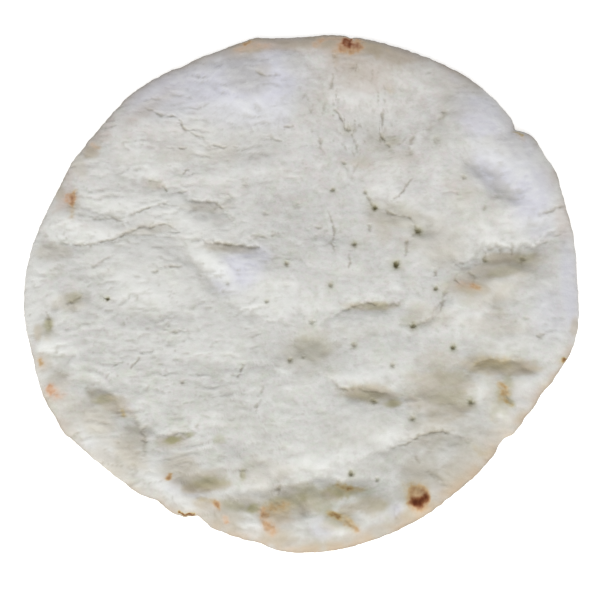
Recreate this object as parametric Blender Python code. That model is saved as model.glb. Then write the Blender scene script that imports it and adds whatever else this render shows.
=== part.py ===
"""A plain baked pizza crust: one uneven round of dough with a puffed rim, folds, blisters and docking holes.

The crust lies flat on its underside. Its origin is at the middle of that underside, +Z is up, and the
stretch of the rim that is baked most is towards -Y. Every size below is in millimetres.
"""

import math

import bmesh
import bpy
import numpy as np

MM = 0.001

# Driving dimensions
CRUMB_HEIGHT = 8.0  # the flat middle, between its folds
RIM_RISE_FRONT = 1.0  # how far the rim stands above the middle, on the side towards -Y
RIM_RISE_BACK = 0.9  # and on the side towards +Y
RIM_CREST_INSET = 14.0  # from the outline in to the rim's crest
RIM_SPREAD = 8.0  # half the width over which the rim swells
EDGE_ROUND = 10.0  # width of the rounded shoulder outside the rim's crest
EQUATOR_HEIGHT = 4.6  # height of the widest line of the side
UNDERCUT = 3.2  # how far the side tucks in below that line
HOLE_DEPTH = 3.2  # a docking hole, from the surface to its point
PIN_LENGTH = 6.4  # of the pin that pricks a hole, so that it stands clear above the surface

# Shape of each fold and mound
BANK_STEEPNESS = 1.2  # near 1 a fold's bottom is sharp, near 2 it is round
FADE_POWER = 0.5  # near 0 a fold ends at once, near 1 it fades all the way from its middle
MOUND_FOOT = 1.8  # a mound ends where its oval's squared reach comes to this

# Mesh sizes
FLAT_RINGS = 34  # rings of points from the centre out to the shoulder
SHOULDER_RINGS = 4  # from there down to the widest line
SIDE_RINGS = 3  # and below it, in to the underside
HOLE_SIDES = 8

# The outline's turns, anticlockwise from +X: direction in degrees, distance from the centre in mm.
OUTLINE = [
    (0, 144.9), (16, 147.0), (24, 149.0), (33, 148.5), (36, 145.0), (42, 146.8), (50, 147.5),
    (60, 145.2), (70, 143.4), (79, 142.8), (88, 140.1), (94, 139.5), (101, 141.2), (109, 139.1),
    (116, 138.9), (130, 140.2), (147, 138.8), (151, 140.3), (158, 139.9), (174, 144.3),
    (188, 145.9), (196, 145.0), (205, 146.2), (213, 145.4), (218, 142.9), (228, 139.4),
    (234, 138.6), (238, 136.4), (244, 138.2), (247, 134.4), (252, 136.9), (256, 138.2),
    (261, 137.7), (264, 140.7), (272, 141.3), (289, 139.8), (305, 135.9), (314, 134.9),
    (320, 133.0), (324, 135.5), (334, 137.5), (340, 141.7), (345, 145.1), (350, 146.2),
]

# Folds: the bottom line of a groove, its depth, and how far its left and right banks reach,
# seen along the line. A fold of negative depth is a ridge.
FOLDS = {
    "left_ledge": (
        [(-136, 21), (-125, 20), (-111, 19), (-100, 22), (-89, 27), (-78, 30), (-71, 31), (-65, 27)],
        1.1, 2.0, 5.0,
    ),
    "left_small_ledge": ([(-112, 36), (-103, 36), (-93, 37)], 0.7, 1.8, 4.0),
    "left_step": ([(-84, 56), (-76, 54), (-70, 50), (-59, 49)], 0.9, 1.8, 4.5),
    "left_line": ([(-93, 40), (-84, 42), (-74, 44), (-60, 43)], 0.5, 1.5, 3.5),
    "pocket": ([(-51, 20), (-41, 19.5), (-32, 18.5), (-22, 18)], 1.6, 1.6, 5.0),
    "upper_left_fold": ([(-59, 44), (-47, 44), (-41, 39), (-36, 31)], 1.0, 1.8, 4.0),
    "strip_foot": ([(-60, 14), (-52, 3), (-40, -8), (-30, -17), (-16, -22), (2, -23)], 0.7, 3.0, 4.0),
    "centre_ledge": (
        [(10, -23), (17, -19), (26, -13.5), (36, -12), (44, -13), (55, -12)],
        1.2, 2.0, 4.5,
    ),
    "centre_pit": ([(-4, -32), (5, -31), (14, -36)], 0.8, 3.0, 5.0),
    "lower_ledge": ([(13, -52), (20, -57), (32, -58), (42, -60), (52, -63), (62, -62)], 1.2, 2.5, 5.0),
    "right_valley": ([(78, 8), (90, 12), (100, 16), (115, 19), (127, 23), (140, 29)], 1.2, 3.0, 6.0),
    "right_branch": ([(60, -24), (68, -19), (74, -11), (77, -2)], 0.8, 2.5, 3.0),
    "right_blister_arc": ([(84, -47), (93, -43), (103, -41), (113, -43), (123, -50)], 1.0, 2.2, 4.5),
    "right_crease": (
        [(22, -98), (32, -95), (45, -89), (57, -84), (66, -80), (76, -80), (86, -86)],
        1.1, 2.2, 4.5,
    ),
    "front_valley": (
        [(-22, -113), (-14, -109), (-2, -107), (12, -105), (24, -104), (36, -104)],
        1.2, 2.5, 5.0,
    ),
    "front_left_fold": ([(-76, -84), (-67, -82), (-56, -80)], 1.0, 2.0, 4.0),
    "left_front_valley": (
        [(-112, -58), (-103, -58), (-95, -63), (-87, -71), (-79, -81)],
        1.0, 2.5, 5.0,
    ),
    "blister_gap": ([(-63, -106), (-52, -102.5), (-41, -104)], 1.0, 2.2, 4.5),
    "blister_seam": ([(1, -108), (2, -125)], 1.2, 2.5, 2.5),
    "blister_seam_left": ([(-21, -117), (-18, -124), (-16, -131)], 1.0, 2.5, 2.5),
}

# Mounds: centre x and y, half-length, half-width, turn in degrees, height. A negative height is a hollow.
MOUNDS = {
    # the back
    "back_left_mound": (-32, 109, 20, 14, 0, 3.1),
    "back_middle_mound": (-13, 121, 14, 9, 0, 1.8),
    "back_middle_ridge": (-6, 110, 14, 15, 0, 1.9),
    "back_right_mound": (28, 115, 18, 17, 0, 3.1),
    "back_left_hollow": (-21, 80, 22, 15, 10, -1.8),
    "back_right_hollow": (40, 89, 20, 12, 0, -1.6),
    # the upper left
    "upper_left_mound": (-90, 80, 14, 16, 10, 1.5),
    "fold_hollow": (-47, 46, 15, 10, 0, -2.1),
    "middle_hollow": (-6, 50, 20, 18, 10, -2.1),
    "fold_bank": (-55, 31, 18, 9, -40, 1.7),
    # the left
    "left_mound": (-79, 8, 26, 17, -8, 2.0),
    "left_edge_mound": (-121, 33, 7, 8, 0, 1.7),
    "left_edge_valley": (-127, 21, 16, 9, 0, -1.7),
    "left_low_mound": (-119, -22, 9, 26, 8, 1.8),
    "left_low_dimple": (-125, -45, 9, 10, 0, -2.0),
    "left_hollow": (-83, -17, 24, 9, -8, -1.7),
    "left_far_hollow": (-105, 3, 14, 14, -30, -1.5),
    # the middle
    "centre_crest": (-38, 11, 20, 9, -20, 2.8),
    "centre_mound": (-2, 6, 32, 19, 5, 2.0),
    "centre_hollow": (5, -28, 17, 13, 0, -2.3),
    "centre_hollow_left": (-20, -30, 14, 18, 10, -1.5),
    "pin_rise": (62, 14, 9, 14, -10, 1.7),
    "right_dip": (46, 41, 15, 8, -20, -2.1),
    "right_dip_end": (64, 34, 8, 10, 0, -1.6),
    "upper_middle_mound": (44, 66, 14, 12, 0, 1.8),
    # the right
    "right_shoulder": (75, 72, 14, 22, 0, 2.6),
    "right_shoulder_high": (92, 86, 20, 16, -10, 1.9),
    "right_dimple": (99, 58, 19, 9, -35, -2.1),
    "right_shoulder_low": (90, 51, 12, 14, 0, 2.2),
    "right_rim_mound": (119, 63, 11, 20, 15, 1.7),
    "right_valley": (106, 19, 40, 14, 16, -4.0),
    "right_fold_crest": (90, -10, 17, 10, 15, 2.2),
    "right_fold_crest_far": (113, 0, 22, 9, 0, 2.2),
    "right_fold_end": (121, -15, 11, 14, -25, 2.0),
    "right_low_hollow": (78, -37, 22, 14, 0, -2.7),
    "right_arc_hollow": (110, -42, 20, 8, -5, -1.8),
    # the front
    "lower_mound_crest": (3, -52, 18, 11, 0, 1.9),
    "lower_right_mound": (39, -73, 18, 11, 5, 2.3),
    "lower_ledge_hollow": (42, -58, 26, 7, 0, -1.8),
    "lower_right_hollow": (69, -52, 18, 13, 0, -2.2),
    "blister": (94, -54, 11, 10, 30, 2.3),
    "blister_foot": (104, -67, 8, 7, 0, 1.6),
    "rim_bump": (78, -74, 15, 7, 10, 1.5),
    "crease_hollow_low": (57, -102, 10, 13, 0, -2.0),
    "burnt_blister": (59, -119, 8, 7, 0, 2.4),
    "front_valley_left": (-8, -107, 24, 9, 12, -3.2),
    "front_valley_right": (24, -104, 20, 9, 6, -3.0),
    "front_valley_bank": (-9, -97, 15, 9, 0, -1.5),
    "front_left_hollow": (-49, -98, 14, 11, -30, -1.9),
    "front_left_rim_mound": (-101, -71, 13, 9, -25, 1.8),
}

# Docking holes: x, y and the radius of the mouth.
HOLES = [
    (-101, -10.2, 1.0), (-7.7, 8, 1.1), (-18, -11.7, 1.0), (17, 49.7, 1.2), (34, 48.3, 1.1),
    (39, 40, 1.2), (61.8, 27, 1.6), (28.1, 19.3, 1.3), (49.2, 7.5, 1.8), (15.5, -3, 1.3),
    (70.2, -4.7, 1.1), (4.4, -23.5, 1.2), (58.1, -25, 1.3), (27.4, -35, 1.2), (78.4, -36.5, 1.5),
    (-5.6, -43.5, 1.2), (0.9, -41.6, 1.0), (47, -45.8, 1.2), (-61, -54.7, 1.0), (37, -64.7, 1.3),
    (86.8, -65, 1.4), (56.9, -73.7, 1.2), (25.5, -101.4, 1.2), (38.5, -104.8, 1.0), (97, 11.4, 1.2),
    (116, 11, 1.4), (86.3, 56, 1.2), (25, 84, 1.5), (43.4, 78.7, 1.3), (28.4, 118.9, 1.3),
]

CRUST_COLOUR = (0.60, 0.585, 0.53, 1.0)
CRUST_ROUGHNESS = 0.85


def outline_radius(theta):
    """Distance from the centre to the outline: a smooth closed curve through the outline's turns."""
    turns = np.array(OUTLINE, dtype=float)
    angle = np.radians(np.concatenate([turns[-2:, 0] - 360, turns[:, 0], turns[:3, 0] + 360]))
    radius = np.concatenate([turns[-2:, 1], turns[:, 1], turns[:3, 1]])
    tangent = np.gradient(radius, angle)
    theta = np.mod(theta, 2 * math.pi)
    start = np.searchsorted(angle, theta, side="right") - 1
    gap = angle[start + 1] - angle[start]
    t = (theta - angle[start]) / gap
    from_start = (2 * t**3 - 3 * t**2 + 1) * radius[start] + (t**3 - 2 * t**2 + t) * gap * tangent[start]
    to_end = (3 * t**2 - 2 * t**3) * radius[start + 1] + (t**3 - t**2) * gap * tangent[start + 1]
    return from_start + to_end


def fold_height(x, y, line, depth, left_bank, right_bank):
    """Height that one fold adds: a groove that is deepest along its line and fades at both ends."""
    nearest = np.full(x.shape, np.inf)
    side = np.zeros(x.shape)
    along = np.zeros(x.shape)
    lengths = [math.dist(a, b) for a, b in zip(line, line[1:])]
    walked = 0.0
    for (ax, ay), (bx, by), length in zip(line, line[1:], lengths):
        ux = (bx - ax) / length
        uy = (by - ay) / length
        t = np.clip((x - ax) * ux + (y - ay) * uy, 0.0, length)
        away = np.hypot(x - ax - t * ux, y - ay - t * uy)
        closer = away < nearest
        turned = ux * (y - ay) - uy * (x - ax)
        nearest = np.where(closer, away, nearest)
        side = np.where(closer, turned, side)
        along = np.where(closer, walked + t, along)
        walked += length
    bank = np.where(side > 0, left_bank, right_bank)
    fade = np.sin(math.pi * np.clip(along / walked, 0.0, 1.0)) ** FADE_POWER
    return -depth * fade * np.exp(-((nearest / bank) ** BANK_STEEPNESS))


def mound_height(x, y, centre_x, centre_y, half_length, half_width, turn, height):
    """Height that one mound or hollow adds: a smooth dome on an oval foot."""
    cosine = math.cos(math.radians(turn))
    sine = math.sin(math.radians(turn))
    along = ((x - centre_x) * cosine + (y - centre_y) * sine) / half_length
    over = ((y - centre_y) * cosine - (x - centre_x) * sine) / half_width
    return height * np.clip(1.0 - (along**2 + over**2) / MOUND_FOOT, 0.0, None) ** 2


def rim_height(x, y, inset):
    """The puffed rim: a swelling just inside the outline, higher towards -Y than towards +Y."""
    theta = np.arctan2(y, x)
    frontness = 0.5 - 0.5 * np.sin(theta)
    rise = RIM_RISE_BACK + (RIM_RISE_FRONT - RIM_RISE_BACK) * frontness
    return rise * np.exp(-(((inset - RIM_CREST_INSET) / RIM_SPREAD) ** 2))


def top_height(x, y):
    """Height of the top surface above the table, before its outer edge is rounded."""
    inset = outline_radius(np.arctan2(y, x)) - np.hypot(x, y)
    height = CRUMB_HEIGHT + rim_height(x, y, inset)
    for line, depth, left_bank, right_bank in FOLDS.values():
        height = height + fold_height(x, y, line, depth, left_bank, right_bank)
    for mound in MOUNDS.values():
        height = height + mound_height(x, y, *mound)
    return height


def crust_ring(count, shape):
    """One ring of points. shape(theta) gives each point's distance from the centre and its height."""
    theta = np.arange(count) * 2 * math.pi / count
    radius, height = shape(theta)
    return np.column_stack([radius * np.cos(theta), radius * np.sin(theta), height])


def flat_ring(share):
    """A ring inside the shoulder, at a share of the way from the centre to the shoulder."""

    def shape(theta):
        radius = share * (outline_radius(theta) - EDGE_ROUND)
        return radius, top_height(radius * np.cos(theta), radius * np.sin(theta))

    return shape


def shoulder_ring(turn):
    """A ring on the rounded shoulder: turn is 0 at its inner end and a right angle at the widest line."""

    def shape(theta):
        radius = outline_radius(theta) - EDGE_ROUND * (1.0 - math.sin(turn))
        top = top_height(radius * np.cos(theta), radius * np.sin(theta))
        return radius, EQUATOR_HEIGHT + (top - EQUATOR_HEIGHT) * math.cos(turn)

    return shape


def side_ring(turn):
    """A ring below the widest line: turn is 0 there and a right angle where the side meets the table."""

    def shape(theta):
        radius = outline_radius(theta) - UNDERCUT * (1.0 - math.cos(turn))
        return radius, np.full(theta.shape, EQUATOR_HEIGHT * (1.0 - math.sin(turn)))

    return shape


def fill_between(bm, inner, outer):
    """Triangles between two rings, also where the outer one has more points."""
    i = 0
    o = 0
    while i < len(inner) or o < len(outer):
        if o * len(inner) <= i * len(outer):
            corners = (inner[i % len(inner)], outer[o % len(outer)], outer[(o + 1) % len(outer)])
            o += 1
        else:
            corners = (inner[i % len(inner)], outer[o % len(outer)], inner[(i + 1) % len(inner)])
            i += 1
        bm.faces.new(corners)


def crust_mesh():
    """The whole round of dough, as one closed mesh in metres."""
    right_angle = math.pi / 2
    rings = []
    for k in range(1, FLAT_RINGS + 1):
        rings.append(crust_ring(6 * k, flat_ring(k / FLAT_RINGS)))
    for k in range(1, SHOULDER_RINGS + 1):
        turn = right_angle * k / SHOULDER_RINGS
        rings.append(crust_ring(6 * (FLAT_RINGS + k), shoulder_ring(turn)))
    widest = 6 * (FLAT_RINGS + SHOULDER_RINGS)
    for k in range(1, SIDE_RINGS + 1):
        rings.append(crust_ring(widest, side_ring(right_angle * k / SIDE_RINGS)))

    bm = bmesh.new()
    peak = bm.verts.new((0.0, 0.0, MM * float(top_height(np.zeros(1), np.zeros(1))[0])))
    made = [[bm.verts.new(MM * point) for point in ring] for ring in rings]
    for k, vert in enumerate(made[0]):
        bm.faces.new((peak, vert, made[0][(k + 1) % len(made[0])]))
    for inner, outer in zip(made, made[1:]):
        fill_between(bm, inner, outer)
    bm.faces.new(list(reversed(made[-1])))
    bmesh.ops.recalc_face_normals(bm, faces=bm.faces)
    mesh = bpy.data.meshes.new("crust")
    bm.to_mesh(mesh)
    bm.free()
    return mesh


def hole_cutter():
    """One pointed pin for each docking hole, all in one mesh."""
    bm = bmesh.new()
    for x, y, mouth in HOLES:
        surface = float(top_height(np.array([x]), np.array([y]))[0])
        made = bmesh.ops.create_cone(
            bm,
            cap_ends=True,
            segments=HOLE_SIDES,
            radius1=0.0,
            radius2=MM * mouth * PIN_LENGTH / HOLE_DEPTH,
            depth=MM * PIN_LENGTH,
        )
        middle = surface - HOLE_DEPTH + PIN_LENGTH / 2
        bmesh.ops.translate(bm, verts=made["verts"], vec=(MM * x, MM * y, MM * middle))
    bmesh.ops.recalc_face_normals(bm, faces=bm.faces)
    mesh = bpy.data.meshes.new("docking_pins")
    bm.to_mesh(mesh)
    bm.free()
    return mesh


def crust_material():
    """Pale, floury, barely browned dough."""
    material = bpy.data.materials.new("baked_dough")
    material.use_nodes = True
    shader = material.node_tree.nodes["Principled BSDF"]
    shader.inputs["Base Color"].default_value = CRUST_COLOUR
    shader.inputs["Roughness"].default_value = CRUST_ROUGHNESS
    shader.inputs["Metallic"].default_value = 0.0
    return material


def build():
    for old in list(bpy.data.objects):
        bpy.data.objects.remove(old, do_unlink=True)

    crust = bpy.data.objects.new("crust", crust_mesh())
    crust.data.materials.append(crust_material())
    bpy.context.scene.collection.objects.link(crust)
    crust.data.shade_smooth()

    pins = bpy.data.objects.new("docking_pins", hole_cutter())
    pins.hide_render = True
    pins.display_type = "WIRE"
    bpy.context.scene.collection.objects.link(pins)

    cut = crust.modifiers.new("docking_holes", "BOOLEAN")
    cut.operation = "DIFFERENCE"
    cut.object = pins
    cut.solver = "EXACT"


build()
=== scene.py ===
import math

import bmesh
import bpy
import numpy as np
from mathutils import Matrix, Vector, noise


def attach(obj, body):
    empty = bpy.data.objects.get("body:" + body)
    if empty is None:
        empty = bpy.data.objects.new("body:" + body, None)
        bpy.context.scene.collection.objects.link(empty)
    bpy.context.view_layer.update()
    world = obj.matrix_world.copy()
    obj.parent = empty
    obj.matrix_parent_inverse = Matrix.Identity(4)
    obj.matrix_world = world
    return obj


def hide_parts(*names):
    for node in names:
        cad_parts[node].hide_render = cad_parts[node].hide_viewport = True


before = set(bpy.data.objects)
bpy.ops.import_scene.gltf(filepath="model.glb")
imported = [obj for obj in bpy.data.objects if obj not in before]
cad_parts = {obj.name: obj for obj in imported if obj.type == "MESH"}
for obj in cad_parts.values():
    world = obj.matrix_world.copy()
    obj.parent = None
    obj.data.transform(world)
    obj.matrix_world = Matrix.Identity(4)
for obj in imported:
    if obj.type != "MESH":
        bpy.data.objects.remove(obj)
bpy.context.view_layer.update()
MM = 0.001

# --- The studio -------------------------------------------------------------------------------------
# A white matt table top, lit by one broad soft lamp from the front and by an even white room. The
# camera looks down at the crust from the front, nearly from overhead, through a short telephoto lens.

PICTURE_WIDTH = 600
CRUST_WIDTH = 290 * MM
CRUST_WIDTH_IN_PIXELS = 555
SIZE_OF_A_PIXEL = CRUST_WIDTH / CRUST_WIDTH_IN_PIXELS
CAMERA_AIM = Vector((-0.62 * MM, -10.34 * MM, 5.0 * MM))
CAMERA_ELEVATION = math.radians(75.0)
CAMERA_DISTANCE = 800 * MM
SENSOR_WIDTH = 36.0
NEAREST_SEEN = 0.01
FARTHEST_SEEN = 50.0

camera_data = bpy.data.cameras.new("camera")
camera_data.sensor_width = SENSOR_WIDTH
camera_data.lens = SENSOR_WIDTH * CAMERA_DISTANCE / (SIZE_OF_A_PIXEL * PICTURE_WIDTH)
camera_data.clip_start = NEAREST_SEEN
camera_data.clip_end = FARTHEST_SEEN
camera = bpy.data.objects.new("camera", camera_data)
away = Vector((0.0, -math.cos(CAMERA_ELEVATION), math.sin(CAMERA_ELEVATION)))
camera.location = CAMERA_AIM + CAMERA_DISTANCE * away
camera.rotation_euler = away.to_track_quat("Z", "Y").to_euler()
bpy.context.scene.collection.objects.link(camera)
bpy.context.scene.camera = camera

LAMP_SIZE = 2.4
LAMP_POWER = 80.0
LAMP_DISTANCE = 3.0
LAMP_ELEVATION = math.radians(41.0)
LAMP_HEADING = math.radians(-97.0)  # anticlockwise from +X, so almost straight from the front
ROOM_WHITE = (1.0, 1.0, 1.0, 1.0)
ROOM_LIGHT = 0.54

lamp_data = bpy.data.lights.new("soft_lamp", "AREA")
lamp_data.shape = "SQUARE"
lamp_data.size = LAMP_SIZE
lamp_data.energy = LAMP_POWER
lamp = bpy.data.objects.new("soft_lamp", lamp_data)
lamp_way = Vector((
    math.cos(LAMP_HEADING) * math.cos(LAMP_ELEVATION),
    math.sin(LAMP_HEADING) * math.cos(LAMP_ELEVATION),
    math.sin(LAMP_ELEVATION),
))
lamp.location = LAMP_DISTANCE * lamp_way
lamp.rotation_euler = lamp_way.to_track_quat("Z", "Y").to_euler()
bpy.context.scene.collection.objects.link(lamp)

room = bpy.data.worlds.new("white_room")
room.use_nodes = True
room.node_tree.nodes["Background"].inputs["Color"].default_value = ROOM_WHITE
room.node_tree.nodes["Background"].inputs["Strength"].default_value = ROOM_LIGHT
bpy.context.scene.world = room
bpy.context.scene.view_settings.view_transform = "Standard"
bpy.context.scene.view_settings.look = "None"


def tone(red, green, blue):
    """A colour from its usual 0 to 255 values, as the linear light that shaders work in."""
    linear = []
    for value in (red, green, blue):
        share = value / 255
        linear.append(share / 12.92 if share <= 0.04045 else ((share + 0.055) / 1.055) ** 2.4)
    return (*linear, 1.0)


TABLE_SIZE = 6.0
TABLE_DROP = 0.2 * MM  # keeps the table top clear of the crust's underside
TABLE_PAINT = tone(250, 250, 250)
TABLE_GLOW = 0.42  # the table top gives off a little light too, which keeps its shadows faint
TABLE_ROUGHNESS = 0.9
TABLE_SHINE = 0.1

table_mesh = bpy.data.meshes.new("table_top")
half = TABLE_SIZE / 2
table_corners = [(-half, -half), (half, -half), (half, half), (-half, half)]
table_mesh.from_pydata([(*corner, -TABLE_DROP) for corner in table_corners], [], [(0, 1, 2, 3)])
table = bpy.data.objects.new("table_top", table_mesh)
bpy.context.scene.collection.objects.link(table)
table_paint = bpy.data.materials.new("white_table")
table_paint.use_nodes = True
table_shader = table_paint.node_tree.nodes["Principled BSDF"]
table_shader.inputs["Base Color"].default_value = TABLE_PAINT
table_shader.inputs["Emission Color"].default_value = ROOM_WHITE
table_shader.inputs["Emission Strength"].default_value = TABLE_GLOW
table_shader.inputs["Roughness"].default_value = TABLE_ROUGHNESS
table_shader.inputs["Specular IOR Level"].default_value = TABLE_SHINE
table_mesh.materials.append(table_paint)

# --- The crust --------------------------------------------------------------------------------------
# One round of leavened dough, pressed out by hand, docked with pins and baked until it just sets. Its
# rim has puffed, its skin has dried into folds and cracks, and some flour still lies on it.

# The form, in millimetres: a flat crumb with a puffed rim, pushed up and down by mounds and folds.
CRUMB_HEIGHT = 8.0
RIM_RISE_FRONT = 1.0
RIM_RISE_BACK = 0.9
RIM_CREST_INSET = 14.0
RIM_SPREAD = 8.0
EDGE_ROUND = 10.0
EQUATOR_HEIGHT = 4.6  # the height at which the side is widest
UNDERCUT = 3.2
MOUND_FOOT = 1.8  # a mound ends where its oval's squared reach comes to this
BANK_STEEPNESS = 1.2  # near 1 a fold's bottom is sharp, near 2 it is round
FADE_POWER = 0.5  # near 0 a fold ends at once, near 1 it fades all the way from its middle
BEND = 2.4  # how far mounds, steps and folds are bent out of their smooth outlines
BEND_LUMPS = (10.0, 10.0, 2)
TEAR = 1.3  # how far the folds' lines are torn besides
TEAR_LUMPS = (3.2, 3.2, 2)

# The outline's turns, anticlockwise from +X: direction in degrees, distance from the centre.
OUTLINE = [
    (0, 144.9), (16, 147.0), (24, 149.0), (33, 148.5), (36, 145.0), (42, 146.8), (50, 147.5),
    (60, 145.2), (70, 143.4), (79, 142.8), (88, 140.1), (94, 139.5), (101, 141.2), (109, 139.1),
    (116, 138.9), (130, 140.2), (147, 138.8), (151, 140.3), (158, 139.9), (174, 144.3),
    (188, 145.9), (196, 145.0), (205, 146.2), (213, 145.4), (218, 142.9), (228, 139.4),
    (234, 138.6), (238, 136.4), (244, 138.2), (247, 134.4), (252, 136.9), (256, 138.2),
    (261, 137.7), (264, 140.7), (272, 141.3), (289, 139.8), (305, 135.9), (314, 134.9),
    (320, 133.0), (324, 135.5), (334, 137.5), (340, 141.7), (345, 145.1), (350, 146.2),
]

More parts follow.
